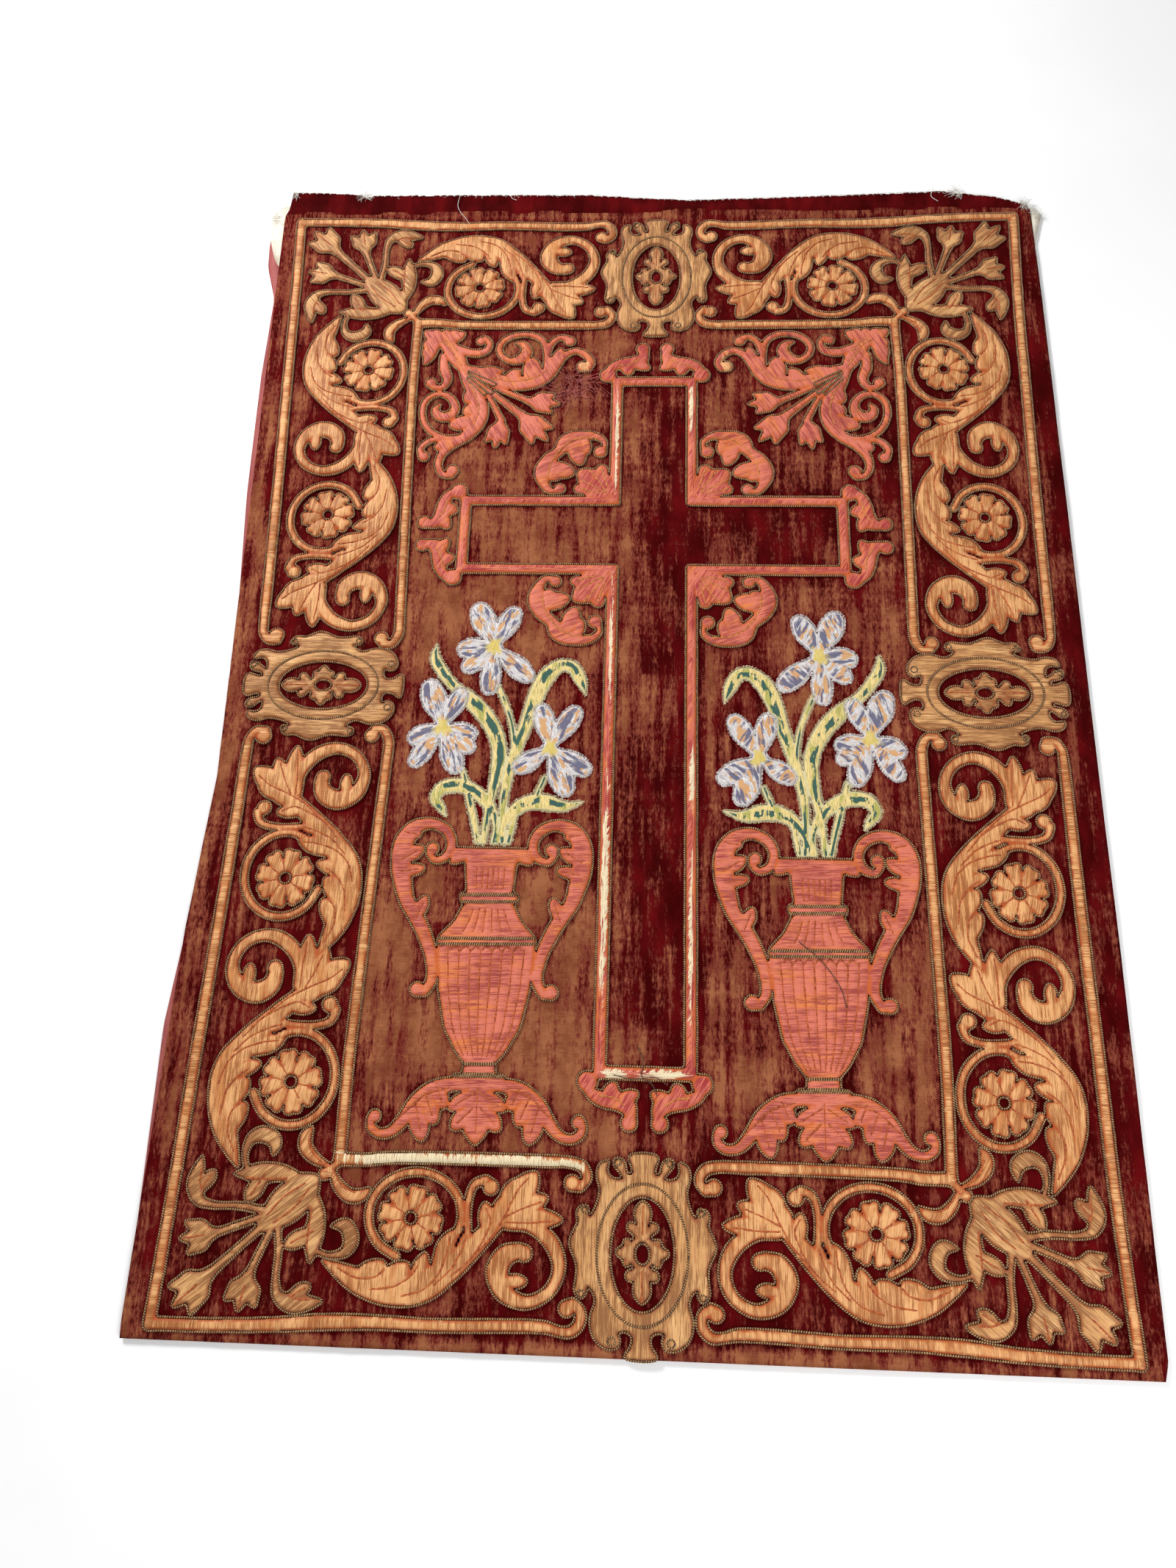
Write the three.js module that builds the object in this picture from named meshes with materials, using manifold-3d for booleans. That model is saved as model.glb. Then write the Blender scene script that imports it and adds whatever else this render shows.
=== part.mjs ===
// An antique altar frontal: a red silk velvet panel with padded gold and pink silk applique.
// Millimetres, +Z up. The cloth lies face up on a flat surface at z = 0, and +Y runs to its top edge.
import * as THREE from "three";
import { mergeVertices } from "three/addons/utils/BufferGeometryUtils.js";
import Module from "manifold-3d";

const wasm = await Module();
wasm.setup();

// Cloth thicknesses, from the surface up, with the small gap that keeps neighbours apart.
const GAP = 0.3;
const LINING = 1.0;
const INTERLINING = 1.0;
const VELVET = 2.0;
const PADDED = 4.0;
const FLAT_SILK = 2.4;

// The design is drawn about the middle of the outer bars' rectangle.
const MIDDLE_X = 7;
const FOLD_Y = 797;
const BOTTOM_Y = -799;
const TOP_Y = 844;
const LEFT_X = -598;
const RIGHT_X = 591;

// How finely curves are drawn, and how far a side of the cut outline may stray from its curve.
const TURN = THREE.MathUtils.degToRad(20);
const LONGEST_SIDE = 60;
const STRAY = 2.5;

const COLOURS = {
  velvet: "#7a2a1c",
  lining: "#d2505a",
  interlining: "#ebe1c8",
  gold_silk: "#e0ae6c",
  old_gold: "#b08044",
  pink_silk: "#dc6e5f",
  iris_white: "#e4dcd2",
  leaf_green: "#b9a85a",
};

// A table with named columns: one object for each row of numbers.
const rows = (columns, ...values) => {
  const names = columns.split(" ");
  return values.map((row) => Object.fromEntries(names.map((name, i) => [name, row[i]])));
};

const at = (x, y) => new THREE.Vector2(x, y);

// Keeps of a finely drawn line only the points where it has turned or run far enough.
function thin(points) {
  const kept = [points[0]];
  let turned = 0;
  for (let i = 1; i < points.length - 1; i++) {
    const before = points[i].clone().sub(points[i - 1]);
    const after = points[i + 1].clone().sub(points[i]);
    turned += Math.abs(before.angleTo(after));
    if (turned > TURN || points[i].distanceTo(kept.at(-1)) > LONGEST_SIDE) {
      kept.push(points[i]);
      turned = 0;
    }
  }
  kept.push(points.at(-1));
  return kept;
}

// A round end between the two sides of a ribbon, as points past its middle.
function roundEnd(middle, direction, half) {
  if (half < 1.5) return [middle.clone().addScaledVector(direction, half)];
  return [-38, 38].map((degrees) =>
    middle.clone().add(direction.clone().rotateAround(at(0, 0), THREE.MathUtils.degToRad(degrees))
      .multiplyScalar(half)));
}

// A band along a smooth line. Each row gives a point x, y of its middle and the width w there.
function ribbon(table) {
  const line = new THREE.CatmullRomCurve3(
    table.map((row) => new THREE.Vector3(row.x, row.y, row.w / 2)), false, "centripetal");
  const middle = line.getPoints(table.length * 8).map((p) => ({ p: at(p.x, p.y), half: Math.max(p.z, 0.4) }));
  const direction = (i) =>
    middle[Math.min(i + 1, middle.length - 1)].p.clone().sub(middle[Math.max(i - 1, 0)].p).normalize();
  const side = (sign) => middle.map(({ p, half }, i) => {
    const d = direction(i);
    return at(p.x - d.y * half * sign, p.y + d.x * half * sign);
  });
  const last = middle.length - 1;
  const end = roundEnd(middle[last].p, direction(last), middle[last].half).reverse();
  const start = roundEnd(middle[0].p, direction(0).negate(), middle[0].half).reverse();
  return [...thin(side(1)), ...end, ...thin(side(-1)).reverse(), ...start];
}

// A round bulb, such as ends a scroll.
function disc(x, y, r) {
  const sides = r > 12 ? 12 : 7;
  return Array.from({ length: sides }, (_, i) =>
    at(r, 0).rotateAround(at(0, 0), (i / sides) * 2 * Math.PI).add(at(x, y)));
}

// A pointed lobe of a leaf from x, y to its tip. A positive bend puts more of its width on the left.
function lobe({ x, y, tipX, tipY, wide, bend = 0 }) {
  const base = at(x, y);
  const along = at(tipX, tipY).sub(base);
  const across = at(-along.y, along.x).normalize().multiplyScalar(wide / 2);
  const spot = (far, out) =>
    base.clone().addScaledVector(along, far).addScaledVector(across, out * (1 + Math.sign(out) * bend));
  return [spot(0, 0.7), spot(0.55, 1), spot(1, 0), spot(0.55, -1), spot(0, -0.7)];
}

const lobes = (table) => table.map(lobe);

// A closed tulip bud: a narrow base, full sides and three pointed petals at its end.
function bud(x, y, tipX, tipY, wide) {
  const base = at(x, y);
  const along = at(tipX, tipY).sub(base);
  const across = at(-along.y, along.x).normalize().multiplyScalar(wide / 2);
  const half = rows("far out", [0, 0.3], [0.18, 0.4], [0.3, 0.85], [0.5, 0.92], [0.8, 1], [0.7, 0.36]);
  const side = (sign) => half.map(({ far, out }) =>
    base.clone().addScaledVector(along, far).addScaledVector(across, sign * out));
  return [...side(1), at(tipX, tipY), ...side(-1).reverse()];
}

// Part of an oval ring as ribbon rows, from one angle to another in degrees.
function arc({ x, y, radiusX, radiusY, band }, from, to) {
  const steps = Math.ceil(Math.abs(to - from) / 30);
  return Array.from({ length: steps + 1 }, (_, i) => {
    const angle = THREE.MathUtils.degToRad(from + ((to - from) * i) / steps);
    return { x: x + radiusX * Math.cos(angle), y: y + radiusY * Math.sin(angle), w: band };
  });
}

// One closed outline raised to a solid between two heights.
function plate(outline, low, high) {
  const points = THREE.ShapeUtils.isClockWise(outline) ? [...outline].reverse() : outline;
  const geometry = new THREE.ExtrudeGeometry(new THREE.Shape(points),
    { depth: high - low, bevelEnabled: false, steps: 1 });
  geometry.deleteAttribute("normal");
  geometry.deleteAttribute("uv");
  geometry.translate(0, 0, low);
  const merged = mergeVertices(geometry, 1e-4);
  return new wasm.Manifold(new wasm.Mesh({
    numProp: 3,
    vertProperties: merged.attributes.position.array,
    triVerts: new Uint32Array(merged.index.array),
  }));
}

const fuse = (solids) => solids.reduce((whole, next) => whole.add(next));

// The closed outlines of a flat solid's top face, each a list of points.
function outlinesOf(solid, top) {
  const { vertProperties, triVerts } = solid.getMesh();
  const next = new Map();
  const isTop = (v) => Math.abs(vertProperties[3 * v + 2] - top) < 1e-3;
  for (let t = 0; t < triVerts.length; t += 3) {
    const corners = [triVerts[t], triVerts[t + 1], triVerts[t + 2]];
    if (!corners.every(isTop)) continue;
    corners.forEach((from, i) => {
      const to = corners[(i + 1) % 3];
      if (next.get(to)?.delete(from)) return;
      if (!next.has(from)) next.set(from, new Set());
      next.get(from).add(to);
    });
  }
  const loops = [];
  for (const [start, ends] of next)
    while (ends.size) {
      const loop = [];
      let spot = start;
      do {
        loop.push(at(vertProperties[3 * spot], vertProperties[3 * spot + 1]));
        const [to] = next.get(spot);
        next.get(spot).delete(to);
        spot = to;
      } while (spot !== start);
      loops.push(loop);
    }
  return loops;
}

// Leaves out the points of an outline that lie closer than STRAY to the side that then replaces them.
function plainer(loop) {
  const far = (p, a, b) => new THREE.Line3(new THREE.Vector3(a.x, a.y), new THREE.Vector3(b.x, b.y))
    .closestPointToPoint(new THREE.Vector3(p.x, p.y), true, new THREE.Vector3()).distanceTo(
      new THREE.Vector3(p.x, p.y));
  const keep = (points) => {
    const distances = points.slice(1, -1).map((p) => far(p, points[0], points.at(-1)));
    const worst = Math.max(0, ...distances);
    if (worst < STRAY) return [points[0]];
    const cut = distances.indexOf(worst) + 1;
    return [...keep(points.slice(0, cut + 1)), ...keep(points.slice(cut))];
  };
  const farthest = loop.reduce((best, p, i) =>
    (p.distanceTo(loop[0]) > loop[best].distanceTo(loop[0]) ? i : best), 0);
  return [...keep(loop.slice(0, farthest + 1)), ...keep([...loop.slice(farthest), loop[0]])];
}

// The same flat solid with a plainer outline and its openings.
function plainerPlate(solid, low, high) {
  const loops = outlinesOf(solid, high).map(plainer).filter((loop) => loop.length > 2);
  const outer = loops.filter((loop) => !THREE.ShapeUtils.isClockWise(loop));
  const inner = loops.filter((loop) => THREE.ShapeUtils.isClockWise(loop));
  const body = fuse(outer.map((loop) => plate(loop, low, high)));
  return inner.reduce((rest, loop) => rest.subtract(plate(loop, low - 1, high + 1)), body);
}

function geometryOf(solid) {
  const mesh = solid.getMesh();
  const geometry = new THREE.BufferGeometry();
  geometry.setAttribute("position", new THREE.BufferAttribute(new Float32Array(mesh.vertProperties), 3));
  geometry.setIndex(new THREE.BufferAttribute(new Uint32Array(mesh.triVerts), 1));
  geometry.computeVertexNormals();
  return geometry;
}

const frontal = new THREE.Group();
const MATERIALS = Object.fromEntries(Object.entries(COLOURS).map(([name, color]) =>
  [name, new THREE.MeshStandardMaterial({ name, color, roughness: 0.8, metalness: 0 })]));

function addPiece(name, material, geometry) {
  const mesh = new THREE.Mesh(geometry, MATERIALS[material]);
  mesh.name = name;
  frontal.add(mesh);
}

const VELVET_TOP = LINING + GAP + INTERLINING + GAP + VELVET;
const FACE = VELVET_TOP + GAP;

// Outlines placed by a map and fused to one padded piece, with the holes cut through it.
function padded(motif, place = (p) => p, thick = PADDED) {
  const raise = (outline) => plate(outline.map((p) => place(p)), FACE, FACE + thick);
  const body = fuse(motif.outlines.map(raise));
  return (motif.holes ?? []).reduce((rest, hole) => rest.subtract(
    plate(hole.map((p) => place(p)), FACE - 1, FACE + thick + 1)), body);
}

function addPlate(name, material, solid, thick = PADDED) {
  addPiece(name, material, geometryOf(plainerPlate(solid, FACE, FACE + thick)));
}

function applique(name, material, motif, place, thick) {
  addPlate(name, material, padded(motif, place, thick), thick);
}

// The border repeats its top left quarter, mirrored by eye: its strips are a little narrower to the
// right and at the bottom, and the right side stands straighter.
const STRIP = { fromMiddle: 356, fromMiddleRight: 351, above: 590, below: 600, narrower: 0.945 };
const LEAN = 13;
const stretched = (far, from, to) => (far < from ? (far * to) / from : to + (far - from) * STRIP.narrower);
const toRight = (p) => at(
  MIDDLE_X + stretched(MIDDLE_X - p.x, STRIP.fromMiddle, STRIP.fromMiddleRight) +
    LEAN * (1 - Math.min(Math.abs(p.y) / STRIP.above, 1)), p.y);
const toBottom = (p) => at(p.x, -stretched(p.y, STRIP.above, STRIP.below));
const QUARTERS = {
  top_left: (p) => p,
  top_right: toRight,
  bottom_left: toBottom,
  bottom_right: (p) => toBottom(toRight(p)),
};

// A cloth sheet as a closed solid over a table of crossways sections: y, left and right edges, lift.
function sheet(table, columns, low, thick, ripple = () => 0) {
  const across = table.length;
  const positions = [];
  const faces = [];
  for (const level of [0, thick])
    for (const section of table)
      for (let i = 0; i <= columns; i++) {
        const x = section.left + ((section.right - section.left) * i) / columns;
        const y = section.edge ? section.edge(x) : section.y;
        positions.push(x, y, low + level + (level ? ripple(x, y) : 0));
      }
  const spot = (level, row, column) => (level * across + row) * (columns + 1) + column;
  const quad = (a, b, c, d) => faces.push(a, b, c, a, c, d);
  for (let r = 0; r < across - 1; r++)
    for (let c = 0; c < columns; c++) {
      quad(spot(1, r, c), spot(1, r, c + 1), spot(1, r + 1, c + 1), spot(1, r + 1, c));
      quad(spot(0, r, c), spot(0, r + 1, c), spot(0, r + 1, c + 1), spot(0, r, c + 1));
    }
  for (let c = 0; c < columns; c++) {
    quad(spot(0, 0, c), spot(0, 0, c + 1), spot(1, 0, c + 1), spot(1, 0, c));
    const r = across - 1;
    quad(spot(1, r, c), spot(1, r, c + 1), spot(0, r, c + 1), spot(0, r, c));
  }
  for (let r = 0; r < across - 1; r++) {
    quad(spot(0, r, 0), spot(1, r, 0), spot(1, r + 1, 0), spot(0, r + 1, 0));
    quad(spot(0, r, columns), spot(0, r + 1, columns), spot(1, r + 1, columns), spot(1, r, columns));
  }
  const geometry = new THREE.BufferGeometry();
  geometry.setAttribute("position", new THREE.BufferAttribute(new Float32Array(positions), 3));
  geometry.setIndex(faces);
  geometry.computeVertexNormals();
  return geometry;
}

// The velvet's top edge is the opened seam allowance, cut unevenly, with tears near both ends.
const TOP_EDGE = rows("x y", [-569, 843], [-520, 842], [-460, 839], [-450, 833], [-438, 836], [-300, 835],
  [-100, 833], [0, 825], [60, 821], [200, 825], [300, 828], [400, 832], [450, 833], [468, 830], [520, 823],
  [550, 813], [569, 806]);

function edgeHeight(table, x) {
  const next = table.findIndex((row) => row.x > x);
  if (next < 1) return next < 0 ? table.at(-1).y : table[0].y;
  const a = table[next - 1];
  const b = table[next];
  return a.y + ((b.y - a.y) * (x - a.x)) / (b.x - a.x);
}

// The sides of the face wander a little from bottom to top.
const VELVET_SIDES = rows("y left right", [BOTTOM_Y, -581, 572], [-780, -582, 577],
  [-330, -573, 578], [-130, -560, 577], [200, -566, 577], [650, -575, 576],
  [789, -577, 574], [FOLD_Y, -576, 573], [805, -572, 572]);
const STRIP_LIFT = 1.2;
const PUCKER = 0.8;

// The old turning lifts along its fold, and the panel puckers between the top bar and the fold.
function velvetRipple(x, y) {
  const turning = Math.exp(-(((y - FOLD_Y - 6) / 7) ** 2)) * STRIP_LIFT * (1 + 0.4 * Math.sin(x / 47));
  const puckers = y > 795 ? PUCKER * Math.sin(x / 31) * Math.sin(y / 19) : 0;
  return Math.max(turning + puckers * 0.5, 0);
}

const velvetSections = [...VELVET_SIDES,
  { left: -570, right: 570, edge: (x) => (edgeHeight(TOP_EDGE, x) + 805) / 2 },
  { left: -569, right: 569, edge: (x) => edgeHeight(TOP_EDGE, x) }];
addPiece("velvet_ground", "velvet",
  sheet(velvetSections, 11, LINING + INTERLINING + 2 * GAP, VELVET, velvetRipple));

// The linen interlining shows past the velvet at both top corners.
const INTERLINING_SIDES = rows("y left right", [-793, -574, 570], [-330, -567, 572], [-130, -555, 572],
  [0, -557, 571], [400, -565, 571], [690, -569, 570], [722, -573, 573], [755, -588, 579], [790, -598, 591],
  [803, -597, 580], [818, -578, 530]);
addPiece("interlining", "interlining",
  sheet(INTERLINING_SIDES, 2, LINING + GAP, INTERLINING));

// The silk lining shows as a narrow pink edge down the left side.
const LINING_SIDES = rows("y left right", [-794, -580, 571], [-600, -582, 573], [-450, -584, 573],
  [-330, -573, 573], [-130, -556, 573], [0, -558, 572], [300, -576, 572], [500, -580, 572], [640, -577, 571],
  [700, -594, 571], [750, -597, 571], [788, -575, 570]);
addPiece("lining", "lining", sheet(LINING_SIDES, 2, 0, LINING));

// The bars: padded strips that frame the border, each ending in curled hooks.
const BAR = 13;
const outerBar = {
  outlines: [
    ribbon(rows("x y w", [-549, 783, BAR], [-480, 782, BAR], [-410, 779, BAR + 1], [-350, 774, BAR + 3],
      [-290, 772, BAR + 1], [-230, 773, BAR], [-100, 770, BAR - 1], [-88, 773, 10], [-72, 774, 11],
      [-62, 764, 12], [-62, 751, 12], [-71, 744, 13])),
    disc(-77, 749, 9),
    ribbon(rows("x y w", [-549, 784, BAR], [-545, 700, BAR], [-537, 480, BAR], [-532, 350, BAR],
      [-527, 200, BAR], [-524, 92, BAR - 1], [-523, 78, 11], [-515, 66, 11], [-502, 65, 11])),
    disc(-504, 73, 10),
  ],
};

// The inner bars meet at a bead, with a small leaf to either side of it.
const INNER_BAR = 12;
const innerBar = {
  outlines: [
    ribbon(rows("x y w", [-349, 590, INNER_BAR + 2], [-318, 590, INNER_BAR + 1], [-290, 587, INNER_BAR],
      [-100, 585, INNER_BAR], [-83, 585, 11], [-65, 589, 12], [-58, 602, 11], [-66, 614, 10])),
    disc(-75, 609, 9),
    ribbon(rows("x y w", [-349, 592, INNER_BAR], [-349, 480, INNER_BAR], [-345, 350, INNER_BAR],
      [-338, 150, INNER_BAR], [-336, 96, INNER_BAR], [-336, 78, 12], [-344, 62, 11], [-356, 61, 11])),
    disc(-359, 70, 9),
    disc(-365, 608, 7),
    ribbon(rows("x y w", [-364, 607, 9], [-349, 593, 9])),
    ribbon(rows("x y w", [-357, 603, 5], [-348, 620, 12], [-334, 632, 15], [-319, 631, 13], [-309, 622, 1])),
    ribbon(rows("x y w", [-361, 599, 5], [-379, 590, 12], [-391, 577, 15], [-391, 565, 13], [-384, 555, 1])),
  ],
};

// The corner bouquet is drawn along its own diagonal: x out to the corner, y across, both sides alike.
const BOUQUET = { x: -425, y: 664 };
const DIAGONAL = Math.SQRT1_2;
const bouquetFrame = (p) =>
  at(BOUQUET.x + (p.y - p.x) * DIAGONAL, BOUQUET.y + (p.x + p.y) * DIAGONAL);
const bouquetSide = [
  ribbon(rows("x y w", [-56, 8, 14], [-46, 32, 18], [-27, 50, 22], [-3, 71, 1])),
  lobe({ x: -28, y: 44, tipX: 6, tipY: 35, wide: 19 }),
  ribbon(rows("x y w", [-17, 61, 5], [-27, 79, 6], [-43, 88, 11], [-57, 82, 17], [-62, 66, 15],
    [-49, 54, 1])),
  ribbon(rows("x y w", [-4, 6, 8], [26, 19, 7], [58, 33, 9])),
  bud(52, 30, 91, 56, 40),
  ribbon(rows("x y w", [-4, 12, 8], [14, 36, 7], [36, 58, 7], [45, 74, 12], [38, 91, 20], [24, 103, 14],
    [10, 113, 1])),
  lobe({ x: 33, y: 84, tipX: 10, tipY: 89, wide: 15 }),
  ribbon(rows("x y w", [-70, 3, 8], [-59, 6, 14], [-40, 8, 24], [-20, 7, 20], [2, 3, 12])),
];
const acrossDiagonal = (outline) => outline.map((p) => at(p.x, -p.y));
const bouquet = {
  outlines: [
    ribbon(rows("x y w", [8, 0, 16], [-10, 0, 32], [-30, 0, 44], [-52, 0, 36], [-66, 0, 18])),
    ribbon(rows("x y w", [0, 0, 9], [44, 0, 8], [90, 0, 11])),
    bud(84, 0, 144, 0, 45),
    ...bouquetSide,
    ...bouquetSide.map(acrossDiagonal),
  ],
};

// One unit of the border scroll, about the middle of its ring: x along the border, y to its outer edge.
const RING = { x: 0, y: 4, radiusX: 54, radiusY: 50, band: 9 };
const scroll = [
  ribbon(rows("x y w", [-105, 57, 1], [-86, 67, 14], [-58, 80, 28], [-22, 88, 34], [12, 84, 34], [42, 63, 30],
    [70, 36, 24], [95, 9, 18], [112, -8, 12])),
  ...lobes(rows("x y tipX tipY wide bend", [-64, 78, -31, 57, 24, 0.2], [-34, 82, -4, 58, 26, 0.2],
    [2, 78, 15, 45, 18, 0.2], [30, 62, 45, 19, 22, 0], [54, 50, 63, 18, 13, 0], [86, 22, 80, -14, 19, 0],
    [96, 10, 102, -22, 20, 0], [102, -2, 115, -42, 22, 0], [106, -6, 139, -50, 30, 0],
    [106, -2, 153, -22, 24, 0], [108, 8, 171, 4, 24, -0.2])),
  ribbon(arc(RING, 34, -250)),
  ribbon(rows("x y w", [64, 38, 9], [61, 10, 8], [61, -16, 8], [67, -34, 9], [80, -39, 11])),
  disc(86, -31, 9),
  ribbon(rows("x y w", [112, 6, 12], [140, 14, 16], [160, 32, 17], [168, 58, 14], [157, 84, 13],
    [132, 96, 14],
    [107, 86, 20], [98, 63, 25], [107, 45, 22], [122, 40, 17])),
  disc(128, 42, 9),
  lobe({ x: 106, y: 74, tipX: 133, tipY: 73, wide: 15 }),
];
const HORIZONTAL_RING = { x: -255, y: 648 };
const UPPER_RING = { x: -410, y: 501 };
const LOWER_RING = { x: -460, y: 256 };
const alongTop = (p) => at(HORIZONTAL_RING.x + p.x, HORIZONTAL_RING.y + p.y);
const downSide = (p) => at(UPPER_RING.x - p.y, UPPER_RING.y - p.x);
const downSideMirrored = (p) => at(LOWER_RING.x + p.y, LOWER_RING.y - p.x);
const mapped = (outlines, map) => outlines.map((outline) => outline.map((p) => map(p)));
const horizontalArm = { outlines: mapped(scroll, alongTop) };
const verticalArm = { outlines: [...mapped(scroll, downSide), ...mapped(scroll, downSideMirrored)] };

// A rosette of eight petals, each with two lobes, round a small open eye.
const ROSETTE = { radius: 38, notch: 20, eye: 7, petals: 8 };
const rosetteAt = (x, y) => {
  const step = (2 * Math.PI) / ROSETTE.petals;
  const petal = rows("turn reach", [-0.5, 0], [-0.27, 0.98], [0, 0.84], [0.27, 0.98]);
  const outline = [];
  for (let i = 0; i < ROSETTE.petals; i++)
    for (const { turn, reach } of petal) {
      const r = ROSETTE.notch + (ROSETTE.radius - ROSETTE.notch) * reach;
      const angle = (i + turn) * step + 0.2;
      outline.push(at(x + r * Math.cos(angle), y + r * Math.sin(angle)));
    }
  return { outlines: [outline], holes: [disc(x, y, ROSETTE.eye)] };
};
const inRing = (map) => {
  const middle = map(at(-5, 7));
  return rosetteAt(middle.x, middle.y);
};

for (const [quarter, place] of Object.entries(QUARTERS)) {
  applique("outer_bar_" + quarter, "gold_silk", outerBar, place);
  applique("inner_bar_" + quarter, "gold_silk", innerBar, place);
  applique("corner_bouquet_" + quarter, "old_gold", { outlines: mapped(bouquet.outlines, bouquetFrame) },
    place);
  applique("scroll_along_" + quarter, "gold_silk", horizontalArm, place);
  applique("scroll_side_" + quarter, "gold_silk", verticalArm, place);
  applique("rosette_along_" + quarter, "gold_silk", inRing(alongTop), place);
  applique("rosette_upper_" + quarter, "gold_silk", inRing(downSide), place);
  applique("rosette_lower_" + quarter, "gold_silk", inRing(downSideMirrored), place);
}

// A cartouche: strapwork with curled flanges round an oval window that holds a four petal flower.
const CARTOUCHE = { windowX: 38, windowY: 61, eye: 9 };
const cartoucheHalf = rows("x y", [17, 103], [13, 88], [14, 82], [19, 84], [22, 96], [31, 101], [35, 93],
  [29, 86], [24, 78], [36, 78], [42, 86], [40, 97], [51, 93], [54, 80], [50, 66], [54, 46], [61, 36],
  [63, 44], [71, 47], [76, 39], [74, 30], [83, 8], [74, -16], [75, -34], [76, -42], [70, -50], [63, -46],
  [62, -38], [56, -42], [52, -52], [57, -68], [56, -82], [50, -93], [38, -100], [27, -99], [23, -91],
  [26, -84], [18, -82], [10, -87], [12, -98], [19, -108]);
const ovalPoint = (a, b, angle) => at(a * Math.cos(angle), b * Math.sin(angle) - 3);
const oval = (a, b, sides) =>
  Array.from({ length: sides }, (_, i) => ovalPoint(a, b, (i / sides) * 2 * Math.PI));
const cartouche = {
  outlines: [[
    ...cartoucheHalf.map((p) => at(p.x, p.y)), ...cartoucheHalf.map((p) => at(-p.x, p.y)).reverse(),
  ]],
};
const quatrefoil = [
  lobe({ x: 0, y: -8, tipX: 0, tipY: 66, wide: 30 }),
  lobe({ x: 0, y: 2, tipX: 0, tipY: -72, wide: 30 }),
  lobe({ x: 4, y: -3, tipX: 44, tipY: -3, wide: 26 }),
  lobe({ x: -4, y: -3, tipX: -44, tipY: -3, wide: 26 }),
  disc(0, -3, 18),
];

function addCartouche(name, place) {
  const frame = padded({ ...cartouche, holes: [oval(CARTOUCHE.windowX, CARTOUCHE.windowY, 20)] }, place);
  const flower = padded({ outlines: quatrefoil, holes: [disc(0, -3, CARTOUCHE.eye)] }, place);
  addPlate(name, "old_gold", frame.add(flower));
}
// Where the cartouches' middles lie. Those at the sides are turned on end and a little narrower.
const AT = { top: 675, bottom: -689, left: -434, right: 445, narrower: 0.95 };
addCartouche("cartouche_top", (p) => at(MIDDLE_X + p.x, AT.top + p.y));
addCartouche("cartouche_bottom", (p) => at(MIDDLE_X + p.x, AT.bottom + p.y));
addCartouche("cartouche_left", (p) => at(AT.left - p.y, p.x * AT.narrower));
addCartouche("cartouche_right", (p) => at(AT.right + p.y, p.x * AT.narrower));

// The cross is only an outline: a band round four beams, with crests at the ends and shells within.
const BEAM = {
  half: 61, band: 14, top: 492, bottom: -500, left: -264, right: 277, armTop: 292.5, armBottom: 170.5,
};
const crossOutline = (inset) => {
  const { half, top, bottom, left, right, armTop, armBottom } = BEAM;
  const side = half - inset;
  const corners = rows("x y", [-side, top - inset], [-side, armTop - inset],
    [left - MIDDLE_X + inset, armTop - inset],
    [left - MIDDLE_X + inset, armBottom + inset], [-side, armBottom + inset], [-side, bottom + inset],
    [side, bottom + inset], [side, armBottom + inset], [right - MIDDLE_X - inset, armBottom + inset],
    [right - MIDDLE_X - inset, armTop - inset], [side, armTop - inset], [side, top - inset]);
  return corners.map((p) => at(MIDDLE_X + p.x, p.y));
};
// Half a crest, seen from the middle of a beam's end: x across the beam, y outwards.
const crestHalf = [
  disc(-68, 4, 12),
  ribbon(rows("x y w", [-69, 8, 12], [-62, 18, 14], [-48, 24, 18], [-32, 25, 22], [-20, 31, 20],
    [-15, 44, 11])),
  disc(-18, 50, 9.5),
  ...lobes(rows("x y tipX tipY wide", [-34, 28, -7, 15, 17], [-44, 26, -36, 5, 18])),
];
const acrossBeam = (outline) => outline.map((p) => at(-p.x, p.y));
const crest = [...crestHalf, ...crestHalf.map(acrossBeam)];
const CRESTS = [
  (p) => at(MIDDLE_X + p.x, BEAM.top + p.y),
  (p) => at(MIDDLE_X + p.x, BEAM.bottom - p.y),
  (p) => at(BEAM.left - p.y, (BEAM.armTop + BEAM.armBottom) / 2 + p.x),
  (p) => at(BEAM.right + p.y, (BEAM.armTop + BEAM.armBottom) / 2 + p.x),
];
// A corner shell and its scroll: x and y are the distances from the inner corner of two beams.
const shell = [
  ribbon(rows("x y w", [7, -2, 18], [12, 43, 17])),
  ribbon(rows("x y w", [-2, 8, 18], [43, 12, 15])),
  [at(-2, -2), at(30, -2), at(44, 20), at(46, 42), at(22, 44), at(-2, 30)],
];
const cScroll = [
  disc(15, 73, 9),
  ribbon(rows("x y w", [9, 80, 6], [10, 90, 8], [22, 99, 11], [42, 99, 18], [62, 90, 26], [74, 74, 16],
    [88, 60, 20], [96, 40, 24], [94, 22, 15], [85, 9, 10], [74, 8, 8])),
  disc(71, 12, 8),
  ...lobes(rows("x y tipX tipY wide", [40, 96, 33, 69, 16], [54, 90, 42, 51, 24], [92, 48, 51, 37, 26],
    [94, 38, 72, 28, 15])),
];
const CORNERS = {
  upper_left: (p) => at(MIDDLE_X - BEAM.half - p.x, BEAM.armTop + p.y),
  upper_right: (p) => at(MIDDLE_X + BEAM.half + p.x, BEAM.armTop + p.y),
  lower_left: (p) => at(MIDDLE_X - BEAM.half - p.x, BEAM.armBottom - p.y),
  lower_right: (p) => at(MIDDLE_X + BEAM.half + p.x, BEAM.armBottom - p.y),
};
const crossBand = padded({ outlines: [crossOutline(0)], holes: [crossOutline(BEAM.band)] });
const crossOrnaments = [
  ...CRESTS.map((place) => padded({ outlines: crest }, place)),
  ...Object.values(CORNERS).map((place) => padded({ outlines: shell }, place)),
];
addPlate("cross", "pink_silk", fuse([crossBand, ...crossOrnaments]));
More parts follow.
